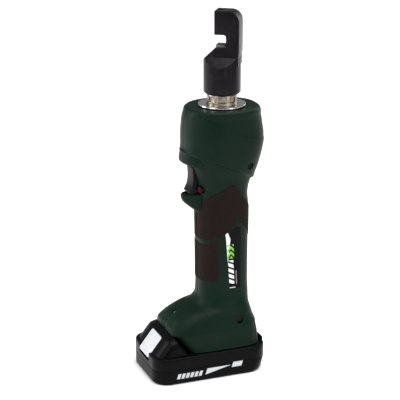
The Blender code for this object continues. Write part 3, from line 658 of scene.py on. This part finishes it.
def patch(name, side, outline, stand, edge, spacing, sink=0.35):
    """A skin laid on the shell inside an outline of (turn, height), with a rolled rim that dips into it."""
    def spot(turn, z, offset):
        x, y = shell_point(turn, z, offset)
        return Vector((side * (float(x) * MM + SEAM), float(y) * MM, float(z) * MM))

    scale = 0.42  # mm along the shell for each degree
    flat = [Vector((turn * scale, z)) for turn, z in outline]
    count = len(flat)
    lows = [min(p[k] for p in flat) for k in (0, 1)]
    highs = [max(p[k] for p in flat) for k in (0, 1)]
    rims = []
    for inset, share in ((0.0, -sink / stand), (0.0, 0.35), (0.18, 0.75), (0.5, 0.95), (1.0, 1.0)):
        ring = []
        for i, here in enumerate(flat):
            way = (flat[(i + 1) % count] - flat[i - 1]).normalized()
            inward = Vector((-way.y, way.x))
            ring.append((here + inward * inset * edge, share * stand))
        rims.append(ring)
    inner = [p for p, _ in rims[-1]]
    fill = []
    steps = [int((high - low) / spacing) + 1 for low, high in zip(lows, highs)]
    for i in range(1, steps[0]):
        for j in range(1, steps[1]):
            fill.append(Vector((lows[0] + i * spacing, lows[1] + j * spacing)))
    ring_edges = [(i, (i + 1) % count) for i in range(count)]
    margin = spacing * 0.45
    fill = [p for p in fill if inside(p, inner) and clear(p, inner, margin)]
    made = delaunay_2d_cdt(inner + fill, ring_edges, [], 1, 1e-6)
    points = [(p, stand) for p in made[0]]
    faces = [tuple(face) for face in made[2]]
    start = {}
    for i, p in enumerate(inner):
        start[i] = min(range(len(made[0])), key=lambda n: (made[0][n] - p).length_squared)
    previous = [start[i] for i in range(count)]
    for ring in reversed(rims[:-1]):
        base = len(points)
        points += ring
        for i in range(count):
            j = (i + 1) % count
            faces.append((previous[i], base + i, base + j, previous[j]))
        previous = [base + i for i in range(count)]
    spots = [spot(p.x / scale, p.y, offset) for p, offset in points]
    return add_mesh(name, spots, faces, 50.0)


def inside(point, outline):
    hit = False
    for i, a in enumerate(outline):
        b = outline[i - 1]
        if (a.y > point.y) != (b.y > point.y):
            if point.x < (b.x - a.x) * (point.y - a.y) / (b.y - a.y) + a.x:
                hit = not hit
    return hit


def clear(point, outline, margin):
    return all((point - p).length > margin for p in outline)


def curve_through(points, steps=8):
    """A smooth closed curve through (a, b, corner) points; a corner of 1 keeps that point sharp."""
    count = len(points)
    made = []
    for i in range(count):
        p0, p1, p2, p3 = (points[(i + k - 1) % count] for k in range(4))
        for step in range(steps):
            t = step / steps
            straight = [p1[k] + (p2[k] - p1[k]) * t for k in (0, 1)]
            bend = []
            for k in (0, 1):
                m1 = 0.0 if p1[2] else (p2[k] - p0[k]) / 2
                m2 = 0.0 if p2[2] else (p3[k] - p1[k]) / 2
                if p1[2]:
                    m1 = p2[k] - p1[k]
                if p2[2]:
                    m2 = p2[k] - p1[k]
                bend.append(
                    (2 * t**3 - 3 * t**2 + 1) * p1[k] + (t**3 - 2 * t**2 + t) * m1
                    + (3 * t**2 - 2 * t**3) * p2[k] + (t**3 - t**2) * m2)
            made.append(tuple(straight if p1[2] and p2[2] else bend))
    return made


# Outlines on the shell: turn in degrees, height in mm, 1 for a corner
UPPER_GRIP = (
    (-88.6, 166, 1), (-74, 168.5, 0), (-60, 173, 0), (-44, 178, 0), (-16, 184.4, 0), (6, 188.3, 0),
    (21, 183, 0),
    (36, 174.8, 0), (54, 167, 0), (70, 161.5, 0), (88.6, 158, 1), (88.6, 126, 1), (62, 136, 0),
    (34, 149, 0),
    (22, 152.8, 0), (14, 149.2, 0), (-10, 140.5, 0), (-40, 135, 0), (-66, 133, 0), (-88.6, 133, 1))
LOWER_GRIP = (
    (-88.6, 128.4, 1), (-70, 128.8, 0), (-48, 131, 0), (-33, 134, 0), (-29, 133, 0), (-28, 129, 0),
    (-28.6, 112, 0),
    (-29, 97.5, 0), (-32, 93.6, 0), (-38, 92.2, 0), (-64, 91.6, 0), (-88.6, 91.4, 1))
SIDE_LABEL = (
    (17.5, 146.5, 1), (27, 145.5, 0), (29.4, 143, 0), (30, 130, 0), (30, 88, 0), (29, 84.6, 0), (26, 84, 0),
    (4, 84, 0), (1.4, 84.8, 0), (0, 88, 0), (-10, 134, 0), (-11.6, 138, 0), (-9, 140.5, 0))


def ready(piece, body, finish, slot, *nodes):
    """Gives a piece its finish and its body, and hides the nodes that it stands for; the slot argument is
    not used.
    """
    piece.data.materials.clear()
    piece.data.materials.append(finish)
    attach(piece, body)
    if nodes:
        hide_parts(*nodes)


_finishes = {}


def finish(name):
    """Each finish is made once and shared."""
    if name not in _finishes:
        scene = bpy.context.scene
        shell, battery, head = scene.tool_shell, scene.tool_battery, scene.tool_head
        makers = {
            "shell": lambda: moulded("shell_green", tuple(shell.colour), 0.44),
            "grip": lambda: rubbery("grip_rubber", tuple(shell.pad_colour)),
            "label": lambda: label_finish("side_label", tuple(shell.accent)),
            "black": lambda: moulded("black_plastic", (0.0050, 0.0045, 0.0045), 0.42, 1100.0),
            "red": lambda: moulded("red_plastic", (0.045, 0.003, 0.005), 0.42, 1100.0),
            "battery": lambda: battery_finish("battery_case", tuple(battery.colour)),
            "button": lambda: moulded("release_button", tuple(battery.button), 0.40, 1000.0, 0.03 * MM,
                                      0.04, 0.2),
            "oxide": lambda: blackened("black_oxide", tuple(head.colour)),
            "die": lambda: metal("die_steel", (0.16, 0.155, 0.16), 0.36, tarnish=0.3),
            "steel": lambda: metal("bright_steel", (0.74, 0.74, 0.75), 0.20),
            "washer": lambda: metal("washer_steel", (0.86, 0.86, 0.87), 0.16, (6.0, 6.0, 1.0), 90.0, 0.05),
            "nickel": lambda: metal("nickel_plate", (0.30, 0.26, 0.21), 0.30, (1.0, 1.0, 10.0), 90.0, 0.06),
            "brass": lambda: metal("brass", (0.60, 0.44, 0.18), 0.28),
            "copper": lambda: metal("copper_winding", (0.62, 0.28, 0.14), 0.34, (14.0, 14.0, 1.0), 160.0,
                                    0.25),
            "aluminium": lambda: metal("aluminium", (0.58, 0.59, 0.61), 0.34),
            "seal": lambda: rubbery("seal_rubber", (0.010, 0.010, 0.010), 0.6),
            "board": lambda: board_finish("circuit_board"),
            "lens": lambda: lens_finish("clear_lens"),
            "cell": lambda: moulded("cell_wrap", (0.05, 0.22, 0.19), 0.32, 500.0),
            "magnet": lambda: moulded("ferrite", (0.035, 0.035, 0.04), 0.6, 1500.0),
            "spring": lambda: spring_wire("spring_wire"),
        }
        _finishes[name] = makers[name]()
    return _finishes[name]


# ---------------------------------------------------------------- operators


class PieceOperator(bpy.types.Operator):
    """Shared settings of the operators that add pieces"""

    bl_idname = "tool.piece_base"
    bl_label = "Add a piece"
    bl_options = {"REGISTER", "UNDO"}

    def execute(self, context):
        self.build(context)
        return {"FINISHED"}


def trigger_way(side):
    outline = rounded_rectangle(-8.4 * MM, 8.4 * MM, 178 * MM, 207 * MM, 1.4 * MM)
    return slab(f"trigger_way_{side}", outline, -50 * MM, -19 * MM, FRONT_VIEW)


def deck_way(side):
    outline = in_mm(((-22.3, 20), (22.3, 20), (22.3, 29.75), (25.6, 29.75), (25.6, 33.7), (-25.6, 33.7),
                     (-25.6, 29.75), (-22.3, 29.75)))
    return slab(f"deck_way_{side}", outline, -70 * MM, -5 * MM, FRONT_VIEW)


LIGHT_AXIS = Vector((0, -0.6, 0.8))
LIGHT_SPOT = Vector((0, -49.6, 60.2)) * MM
RETRACT_SPOT = Vector((12, -27, 184)) * MM
SCREW_SPOTS = (Vector((28.6, 7.3, 54)) * MM, Vector((24.6, 18, 206.5)) * MM)


class AddShell(PieceOperator):
    """Adds both halves of the moulded shell with the ways for the trigger, battery, light and screws"""

    bl_idname = "tool.add_shell"
    bl_label = "Shell halves"

    def build(self, context):
        for side, word in ((1, "right"), (-1, "left")):
            piece = shell_half(f"shell_{word}", side)
            tools = [
                trigger_way(word), deck_way(word),
                rod(f"light_way_{word}", 2.9 * MM, -8 * MM, 8 * MM, along(LIGHT_AXIS, LIGHT_SPOT)),
            ]
            low, high = sorted((side * 22.6 * MM, side * 31.5 * MM))
            if side > 0:
                tools.append(rod("retract_way", 3.4 * MM, -8 * MM, 12 * MM,
                                 along((0, -1, 0), RETRACT_SPOT)))
                for number, spot in enumerate(SCREW_SPOTS):
                    tools.append(rod(f"screw_way_{number}", 3.4 * MM, -2.1 * MM, 12 * MM,
                                     along((1, 0, 0), spot)))
            carve(piece, tools)
            rail = slab(f"rail_{word}", [(low, 27.2 * MM), (high, 27.2 * MM), (high, 29.6 * MM),
                                         (low, 29.6 * MM)],
                        -38 * MM, 16 * MM, FRONT_VIEW)
            piece = weld(f"shell_{word}", [piece, rail])
            ready(piece, "housing", finish("shell"), "housing_green", f"housing_{word}")


def visor(name, outline, half_width, anchor, roundness=2.6):
    """A shelf across the tool's front: an outline in side view whose reach fades towards both ends."""
    count = 44
    rings = []
    for i in range(count + 1):
        share = -0.985 + 1.97 * i / count
        reach = (1 - abs(share) ** roundness) ** (1 / roundness)
        x = share * half_width
        rings.append([Vector((x, anchor + (y - anchor) * reach, z)) for y, z in outline])
    return skin_rings(name, rings, 38.0)


class AddTriggerGuard(PieceOperator):
    """Adds the hood above the trigger and the finger ledge below it"""

    bl_idname = "tool.add_trigger_guard"
    bl_label = "Trigger hood and finger ledge"

    def build(self, context):
        hood = curve_through((
            (-20, 221, 1), (-38.6, 221.5, 0), (-40.7, 217, 0), (-41.5, 212, 0), (-41.3, 209.6, 0),
            (-39.6, 208.6, 0),
            (-36, 207.4, 0), (-33.4, 206.8, 0), (-20, 206.6, 1)), 5)
        ledge = curve_through((
            (-20, 178.5, 1), (-30, 176.6, 0), (-36, 176.4, 0), (-39.6, 178.0, 0), (-41, 177, 0),
            (-41.1, 174.6, 0),
            (-39.4, 170.6, 0), (-34, 165.4, 0), (-27.6, 160.4, 0), (-20, 156, 1)), 5)
        piece = visor("trigger_hood", in_mm(hood), 23 * MM, -20 * MM, 2.2)
        ready(piece, "housing", finish("shell"), "housing_green")
        piece = visor("finger_ledge", in_mm(ledge), 9.5 * MM, -20 * MM, 2.4)
        ready(piece, "housing", finish("shell"), "housing_green")


class AddGrips(PieceOperator):
    """Adds the rubber grips and the printed side labels to both halves"""

    bl_idname = "tool.add_grips"
    bl_label = "Grips and labels"

    def build(self, context):
        rise_mm = context.scene.tool_shell.pad_rise / MM
        for side, word in ((1, "right"), (-1, "left")):
            for part, outline in (("upper", UPPER_GRIP), ("lower", LOWER_GRIP)):
                outline = curve_through(outline[::-1], 7)
                piece = patch(f"{part}_grip_{word}", side, outline, rise_mm, 0.6, 1.1)
                ready(piece, "housing", finish("grip"), "grip_rubber", f"{part}_grip_pad_{word}")
            outline = curve_through(SIDE_LABEL[::-1], 4)
            piece = patch(f"label_{word}", side, outline, 0.12, 0.15, 1.2, 0.1)
            ready(piece, "housing", finish("label"), "label_film", f"side_label_{word}")


class AddControls(PieceOperator):
    """Adds the trigger, the retract button, the work light and the visible screws"""

    bl_idname = "tool.add_controls"
    bl_label = "Trigger, buttons and screws"

    def build(self, context):
        outline = curve_through((
            (-20, 204.2, 1), (-29, 205.6, 0), (-32, 204, 0), (-32, 199, 0), (-31.8, 193, 0), (-33, 186, 0),
            (-35.6, 180.4, 0), (-34.6, 179.2, 0), (-32, 179.4, 0), (-27, 181.6, 0), (-24.4, 190, 0),
            (-20, 197.6, 1)), 5)
        piece = slab("trigger_paddle", in_mm(outline), -7.9 * MM, 7.9 * MM, SIDE_VIEW, 1.3 * MM, 4)
        ready(piece, "trigger", finish("black"), "black_plastic", "trigger")
        place = along((0, -1, 0), RETRACT_SPOT)
        parts = [
            rod("retract_stem", 1.6 * MM, -11 * MM, -1 * MM, place, 24, 0.2 * MM),
            rod("retract_cap", 2.9 * MM, -1.2 * MM, 1.2 * MM, place, 40, 0.7 * MM),
        ]
        ready(weld("retract_cap", parts), "retract_button", finish("red"), "red_plastic", "retract_button")
        place = along(LIGHT_AXIS, LIGHT_SPOT)
        dome = [(0.02, -6), (2.6, -6), (2.6, -3), (2.4, -2.4), (1.9, -1.9), (1.2, -1.6), (0.02, -1.5)]
        piece = lathe("work_light", in_mm(dome), place, 40)
        ready(piece, "housing", finish("lens"), "clear_lens", "status_led")
        for number, spot in enumerate(SCREW_SPOTS):
            place = along((1, 0, 0), spot)
            head = rod(f"screw_head_{number + 1}", 2.95 * MM, -1.9 * MM, 0.6 * MM, place, 40, 0.35 * MM)
            cuts = [rod(f"socket_{number}_{k}", 0.45 * MM, 0.1 * MM, 2 * MM,
                        place @ Matrix.Translation((1.05 * MM * cos(k * pi / 3),
                                                    1.05 * MM * sin(k * pi / 3), 0)), 12)
                    for k in range(6)]
            carve(head, [rod(f"socket_{number}", 1.15 * MM, 0.1 * MM, 2 * MM, place, 24)])
            carve(head, cuts)
            shank = rod(f"shank_{number}", 1.5 * MM, -7 * MM, -1.5 * MM, place, 20)
            piece = weld(f"screw_{number + 1}", [head, shank])
            ready(piece, "housing", finish("oxide"), "bright_steel", f"housing_screw_{number + 1}")


class AddBladder(PieceOperator):
    """Adds the slim rubber oil bladder behind the cylinder"""

    bl_idname = "tool.add_bladder"
    bl_label = "Oil bladder"

    def build(self, context):
        outline = curve_through((
            (23.9, 207, 0), (27.5, 206.4, 0), (29.6, 212, 0), (31.4, 222, 0), (33.4, 233, 0),
            (32.6, 243, 0),
            (29.6, 249.6, 0), (24.2, 250, 0), (23.6, 230, 0)), 5)
        piece = slab("bladder", in_mm(outline), -8.8 * MM, 8.8 * MM, SIDE_VIEW, 1.6 * MM, 4)
        ready(piece, "housing", finish("seal"), "seal_rubber", "oil_bladder")


class AddNeck(PieceOperator):
    """Adds the bright collar washer and the plated neck with its spanner pockets"""

    bl_idname = "tool.add_neck"
    bl_label = "Neck and washer"

    def build(self, context):
        outer = WASHER_HIGH[0] / MM
        low, high = WASHER_LOW[2] / MM, WASHER_HIGH[2] / MM
        ring = [(14.9, low), (outer - 0.4, low), (outer, low + 0.4), (outer, high - 0.5),
                (outer - 0.15, high - 0.15),
                (outer - 0.5, high), (16.2, high), (15.6, high - 0.35), (14.9, high - 0.35)]
        piece = lathe("washer", in_mm(ring), None, 128)
        ready(piece, "housing", finish("washer"), "bright_steel", "collar_washer")
        top = NECK_TOP / MM
        neck = [(8.4, 254), (17, 254), (17, 257), (14.4, 257), (14.4, 263.4), (13.9, 263.7), (13.9, 264.1),
                (14.35, 264.4), (14.35, top - 1.0), (13.9, top), (7.9, top), (7.9, 262), (10.2, 262),
                (10.2, 257),
                (8.4, 257)]
        piece = lathe("neck", in_mm(neck), None, 128)
        pockets = []
        for number in range(8):
            turn = Matrix.Rotation(2 * pi * (number + 0.5) / 8, 4, "Z")
            outline = rounded_rectangle(-3.3 * MM, 3.3 * MM, 265.3 * MM, 270.6 * MM, 0.7 * MM, 3)
            side = turn @ Matrix(((0, 0, 1, 0), (1, 0, 0, 0), (0, 1, 0, 0), (0, 0, 0, 1)))
            pockets.append(slab(f"neck_pocket_{number}", outline, 12.6 * MM, 16 * MM, side))
        carve(piece, pockets)
        bevel(piece, 0.18 * MM, 2, 40)
        ready(piece, "housing", finish("nickel"), "nickel", "neck_sleeve")


def head_outline():
    """The C seen flat: towards the arm, and up."""
    points = [(-14.8, 300), (-14.8, 306.7), (-5.3, 316.2), (5.0, 316.2)]
    points += arc((4.6, 317.2), 0.7, -60, 0, 4)
    points += [(5.3, 326.4)]
    points += arc((3.0, 326.4), 2.3, 10, 90, 6)
    points += [(-5.7, 328.7), (-5.7, 350.5)]
    points += arc((7.5, 340.5), 10, 90, 0, 14)
    points += [(17.5, 311.6), (17.0, 311), (17.0, 300)]
    return in_mm(points)


class AddHead(PieceOperator):
    """Adds the blackened C-shaped head and its two dies"""

    bl_idname = "tool.add_head"
    bl_label = "Head and dies"

    def build(self, context):
        edge = context.scene.tool_head.edge
        low = HEAD_BASE / MM
        barrel = rod("barrel", 17.5 * MM, low * MM, 308.5 * MM, HEAD_PLACE, 128, 1.4 * MM)
        section = in_mm(((-20, 270), (20, 270), (20, 296.5), (7.5, 309), (-7.5, 309), (-20, 296.5)))
        carve(barrel, [slab("section", section, -30 * MM, 30 * MM, HEAD_SECTION)], "INTERSECT")
        plate = slab("plate", head_outline(), -9 * MM, 9 * MM, HEAD_PLATE)
        carve(barrel, [plate], "UNION")
        slope = in_mm(((-30, 291.8), (-5.3, 316.5), (-5.3, 322), (-30, 322)))
        ways = [
            slab("slope", slope, -30 * MM, 30 * MM, HEAD_PLATE),
            rod("ram_way", 7.8 * MM, 270 * MM, 321.5 * MM, HEAD_PLACE, 64),
        ]
        carve(barrel, ways, "DIFFERENCE", "MANIFOLD")
        pocket = rounded_rectangle(-7 * MM, 3 * MM, -6.3 * MM, 6.3 * MM, 0.8 * MM)
        place = HEAD_PLACE @ Matrix.Translation((-1.3 * MM, 0, 0))
        ways = [
            slab("die_pocket", pocket, 320 * MM, 334 * MM, HEAD_PLACE),
            rod("die_screw_way", 3.1 * MM, 347 * MM, 352 * MM, place, 40),
            rod("die_screw_shank_way", 1.8 * MM, 330 * MM, 348 * MM, place, 24),
        ]
        carve(barrel, ways, "DIFFERENCE", "MANIFOLD")
        bevel(barrel, edge, 3, 28)
        barrel.name = "head_body"
        ready(barrel, "head", finish("oxide"), "black_oxide", "head_frame")
        outline = rounded_rectangle(-5.4 * MM, 2.7 * MM, -6 * MM, 6 * MM, 0.6 * MM)
        piece = slab("upper_die_insert", outline, 328.7 * MM, 333.6 * MM, HEAD_PLACE, 0.25 * MM)
        ready(piece, "head", finish("die"), "die_steel", "upper_die")
        outline = in_mm(((-4.9, 311.3), (4.9, 311.3), (4.9, 316.8), (2.9, 318.8), (-4.9, 318.8)))
        piece = slab("lower_die_insert", outline, -5.2 * MM, 5.2 * MM, HEAD_PLATE, 0.3 * MM)
        ready(piece, "ram", finish("die"), "die_steel", "lower_die")


BUTTON_FOOT = Vector((0, -80.6, 22)) * MM
BUTTON_TOP = Vector((0, -66.2, 40.4)) * MM


def slope_place():
    """A place on the battery's sloped nose: X across, Y up the slope, Z out of it."""
    up = (BUTTON_TOP - BUTTON_FOOT).normalized()
    across = Vector((1, 0, 0))
    out = across.cross(up)
    turn = Matrix((across, up, out)).transposed().to_4x4()
    return Matrix.Translation(BUTTON_FOOT) @ turn


def case_ring(z, inset, corner):
    """One level of the battery case, with its rear edge swept up."""
    half, front, back = BATTERY_HIGH[0], BATTERY_LOW[1], BATTERY_HIGH[1]
    sweep = 11 * MM
    lift = 0.0
    if z < sweep:
        lift = 8 * MM * (1 - sqrt(1 - (1 - z / sweep) ** 2))
    left, right = -half + inset, half - inset
    low, high = front + inset, back - inset - lift
    points = []
    for a, b in rounded_rectangle(left, right, low, high, corner - inset, 12):
        bulge = 0.0
        if b < front + corner:
            bulge = -0.3 * MM * (1 - (a / half) ** 2) * min(1.0, (front + corner - b) / corner)
        points.append(Vector((a, b + bulge, z)))
    return points


def fender(name, outline, half_width, centre, roundness):
    """A bar across the tool whose side-view outline shrinks towards a centre line at both ends."""
    rings = []
    for step in np.linspace(-0.97, 0.97, 61):
        share = sin(step * pi / 2)
        size = (1 - abs(share) ** roundness) ** (1 / roundness)
        x = half_width * share
        rings.append([Vector((x, centre[0] + (y - centre[0]) * size, centre[1] + (z - centre[1]) * size))
                      for y, z in outline])
    return skin_rings(name, rings, 38.0)


class AddBattery(PieceOperator):
    """Adds the battery's two case halves and its release button"""

    bl_idname = "tool.add_battery"
    bl_label = "Battery"

    def build(self, context):
        corner = context.scene.tool_battery.corner
        split = 14
        lower = [(0, 2.4), (0.25, 1.5), (0.9, 0.65), (1.8, 0.15), (2.8, 0), (split - 0.5, 0),
                 (split - 0.1, 0.12),
                 (split, 0.3)]
        piece = skin_rings("battery_tray", [case_ring(z * MM, inset * MM, corner) for z, inset in lower])
        inner = rounded_rectangle(-35.1 * MM, 35.1 * MM, -77.6 * MM, 27 * MM, 13 * MM)
        carve(piece, [slab("tray_hollow", inner, 2.4 * MM, 20 * MM)])
        ready(piece, "battery", finish("battery"), "battery_black", "battery_lower_case")

        base = split + 0.12
        upper = [(base, 0.3), (base + 0.15, 0.12), (base + 0.5, 0), (24.3, 0), (24.6, 0.22), (24.9, 0.22),
                 (25.2, 0),
                 (25.9, 0.08), (26.4, 0.4), (26.65, 0.9), (26.7, 1.6)]
        piece = skin_rings("battery_cover", [case_ring(z * MM, inset * MM, corner) for z, inset in upper])
        nose = curve_through((
            (-79.4, 21, 1), (-78.8, 24.6, 0), (-66.6, 40.2, 0), (-63.4, 42.3, 0), (-60, 43.3, 0),
            (-57.6, 43.4, 0),
            (-53, 37.4, 0), (-46.6, 30.8, 0), (-44.8, 21, 1)), 5)
        hump = fender("nose", in_mm(nose), 34 * MM, (-52 * MM, 24 * MM), 5)
        tail = slab("tail_lip", rounded_rectangle(-24 * MM, 24 * MM, 24 * MM, 30.4 * MM, 1.5 * MM),
                    32.2 * MM, 34.3 * MM,
                    FRONT_VIEW, 0.5 * MM)
        neck = slab("deck_neck", in_mm(((-22, 24), (22, 24), (22, 31), (-22, 31))), -50 * MM, 24 * MM,
                    FRONT_VIEW)
        rail = slab("deck_rail", in_mm(((-25, 29.9), (25, 29.9), (25, 33.2), (-25, 33.2))), -38 * MM,
                    24 * MM,
                    FRONT_VIEW, 0.3 * MM)
        carve(piece, [hump, neck, rail, tail], "UNION", "MANIFOLD")
        place = slope_place()
        window = rounded_rectangle(-13.9 * MM, 13.9 * MM, -3.2 * MM, 23.6 * MM, 3.2 * MM)
        ways = [
            slab("button_window", window, -5.6 * MM, 12 * MM, place),
            slab("latch_way", in_mm(((-5.5, 20.6), (5.5, 20.6), (5.5, 28), (-5.5, 28))), -76 * MM,
                 -37.6 * MM,
                 FRONT_VIEW),
            slab("hook_way", in_mm(((-5.5, 27), (5.5, 27), (5.5, 36), (-5.5, 36))), -43.6 * MM, -37.6 * MM,
                 FRONT_VIEW),
            slab("cover_hollow", rounded_rectangle(-35.1 * MM, 35.1 * MM, -77.6 * MM, 32.1 * MM, 13 * MM),
                 10 * MM,
                 24.3 * MM),
        ]
        for x in (-14, 0, 14):
            slot = in_mm(((x - 1.2, 27.6), (x + 1.2, 27.6), (x + 1.2, 40), (x - 1.2, 40)))
            ways.append(slab(f"blade_slot_{x}", slot, 4 * MM, 31 * MM, FRONT_VIEW))
        carve(piece, ways, "DIFFERENCE", "MANIFOLD")
        ready(piece, "battery", finish("battery"), "battery_black", "battery_upper_case")

        face = rounded_rectangle(-13.4 * MM, 13.4 * MM, -0.6 * MM, 23 * MM, 2.6 * MM)
        plate = slab("button_plate", face, -3.0 * MM, 0.0, place, 0.7 * MM, 4)
        thumb = rounded_rectangle(-9.5 * MM, 9.5 * MM, 2.4 * MM, 19.6 * MM, 3 * MM)
        carve(plate, [slab("thumb_dish", thumb, -0.35 * MM, 3 * MM, place)])
        arm = slab("latch_arm", in_mm(((-5, 24.8), (5, 24.8), (5, 26.9), (-5, 26.9))), -76 * MM, -38 * MM,
                   FRONT_VIEW,
                   0.2 * MM)
        hook = slab("latch_hook", in_mm(((-5, 24.8), (5, 24.8), (5, 33.2), (-5, 33.2))), -43 * MM,
                    -38 * MM, FRONT_VIEW,
                    0.3 * MM)
        piece = weld("release_button_face", [plate, arm, hook])
        ready(piece, "battery_latch", finish("button"), "button_grey", "release_button")


# Finish of each node that keeps its own solid
KEPT = {
    "steel": ("die_screw", "ram_piston", "sun_gear", "planet_gear_1", "planet_gear_2", "planet_gear_3",
              "planet_carrier", "eccentric_bearing", "motor_can", "shaft_bearing", "pump_plunger",
              "trigger_pin"),
    "spring": ("return_spring", "trigger_spring", "latch_spring"),
    "oxide": ("retract_spring",),
    "aluminium": ("hydraulic_cylinder", "gearbox_plate", "pump_block"),
    "brass": ("plunger_plug", "relief_valve"),
    "copper": ("armature",),
    "seal": ("rod_seal", "piston_seal"),
    "black": ("ring_gear", "motor_end_cap", "brush_holder", "micro_switch", "terminal_block"),
    "magnet": ("field_magnet",),
    "board": ("control_board", "battery_board"),
    "cell": tuple(f"battery_cell_{number}" for number in range(1, 6)),
}


class FinishInnerParts(PieceOperator):
    """Gives each node that keeps its own solid its detailed finish"""

    bl_idname = "tool.finish_inner_parts"
    bl_label = "Inner parts"

    def build(self, context):
        for name, nodes in KEPT.items():
            for node in nodes:
                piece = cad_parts[node]
                if not piece.material_slots:
                    piece.data.materials.append(None)
                for place in piece.material_slots:
                    place.link = "OBJECT"
                    place.material = finish(name)


TOOL_MIDDLE = Vector((0, 0, 0.18))
# Name, place, width, height and power of each light panel
SOFT_PANELS = (
    ("key", (0.55, -1.5, 0.95), 0.9, 0.9, 8),
    ("side", (1.6, 0.75, 0.75), 0.5, 1.1, 5),
    ("left_rim", (-0.7, -1.3, 0.7), 0.5, 1.2, 12),
    ("right_rim", (-0.6, 1.3, 0.8), 0.5, 1.2, 6),
    ("top", (0.1, -0.1, 1.5), 0.9, 0.9, 5),
)
FLOOR_REACH = 40


def area_light(name, spot, width, height, power):
    """A soft panel aimed at the tool's middle."""
    data = bpy.data.lights.new(name, "AREA")
    data.shape = "RECTANGLE"
    data.size, data.size_y = width, height
    data.energy = power
    lamp = bpy.data.objects.new(name, data)
    bpy.context.scene.collection.objects.link(lamp)
    lamp.location = spot
    lamp.rotation_euler = (TOOL_MIDDLE - Vector(spot)).to_track_quat("-Z", "Y").to_euler()


class AddStage(PieceOperator):
    """Adds the pale floor, the soft lights and the camera"""

    bl_idname = "tool.add_stage"
    bl_label = "Stage"

    def build(self, context):
        corners = [(a * FLOOR_REACH, b * FLOOR_REACH, 0) for a, b in ((-1, -1), (1, -1), (1, 1), (-1, 1))]
        floor = add_mesh("floor", corners, [(0, 1, 2, 3)])
        paper = Finish("floor_paper")
        mottle = paper.noise(3.0, 2.0)
        paper.set(base_color=paper.mix(mottle, (0.90, 0.90, 0.90), (0.93, 0.93, 0.93)), roughness=0.9)
        floor.data.materials.append(paper.material)
        context.scene.view_settings.view_transform = "Standard"
        world = bpy.data.worlds.new("studio")
        context.scene.world = world
        world.use_nodes = True
        world.node_tree.nodes["Background"].inputs[0].default_value = (1.0, 1.0, 1.0, 1.0)
        world.node_tree.nodes["Background"].inputs[1].default_value = 0.22
        for lamp in SOFT_PANELS:
            area_light(*lamp)
        sky = bpy.data.lights.new("overhead", "SUN")
        sky.energy = 3.1
        sky.angle = radians(60)
        overhead = bpy.data.objects.new("overhead", sky)
        overhead.rotation_euler = (radians(-12), radians(10), 0)
        context.scene.collection.objects.link(overhead)
        self.add_camera(context)

    def add_camera(self, context):
        turn, pitch = radians(68), radians(18)
        distance, height = 1.300, 0.5895
        focal = 1430.0  # focal length, where the sensor is 400 wide
        yaw = atan(22.6 / focal)
        right = Vector((cos(turn), sin(turn), 0))
        back = Vector((sin(turn), -cos(turn), 0))
        level_right = right * cos(yaw) - back * sin(yaw)
        level_ahead = -right * sin(yaw) - back * cos(yaw)
        ahead = level_ahead * cos(pitch) - Vector((0, 0, sin(pitch)))
        up = level_ahead * sin(pitch) + Vector((0, 0, cos(pitch)))
        data = bpy.data.cameras.new("camera")
        data.sensor_width = 36
        data.lens = 36 * focal / 400
        data.clip_end = 120
        camera = bpy.data.objects.new("camera", data)
        context.scene.collection.objects.link(camera)
        turn = Matrix((level_right, up, -ahead)).transposed().to_4x4()
        camera.matrix_world = Matrix.Translation(back * distance + Vector((0, 0, height))) @ turn
        context.scene.camera = camera


ORDER = (
    AddShell, AddTriggerGuard, AddGrips, AddControls, AddBladder, AddNeck, AddHead, AddBattery,
    FinishInnerParts,
    AddStage)


class ToolPanel(bpy.types.Panel):
    """Lists the tool's operators and settings"""

    bl_idname = "VIEW3D_PT_hand_tool"
    bl_label = "Hand Tool"
    bl_space_type = "VIEW_3D"
    bl_region_type = "UI"
    bl_category = "Hand Tool"

    def draw(self, context):
        for settings in (context.scene.tool_shell, context.scene.tool_battery, context.scene.tool_head):
            for name in settings.__annotations__:
                self.layout.prop(settings, name)
        for operator in ORDER:
            self.layout.operator(operator.bl_idname)


SETTINGS = (("tool_shell", ShellSettings), ("tool_battery", BatterySettings), ("tool_head", HeadSettings))


def register():
    for name, group in SETTINGS:
        bpy.utils.register_class(group)
        setattr(bpy.types.Scene, name, PointerProperty(type=group))
    for operator in ORDER:
        bpy.utils.register_class(operator)
    bpy.utils.register_class(ToolPanel)


def unregister():
    bpy.utils.unregister_class(ToolPanel)
    for operator in reversed(ORDER):
        bpy.utils.unregister_class(operator)
    for name, group in reversed(SETTINGS):
        delattr(bpy.types.Scene, name)
        bpy.utils.unregister_class(group)


def main():
    register()
    for operator in ORDER:
        group, name = operator.bl_idname.split(".")
        getattr(getattr(bpy.ops, group), name)()


if __name__ == "__main__":
    main()
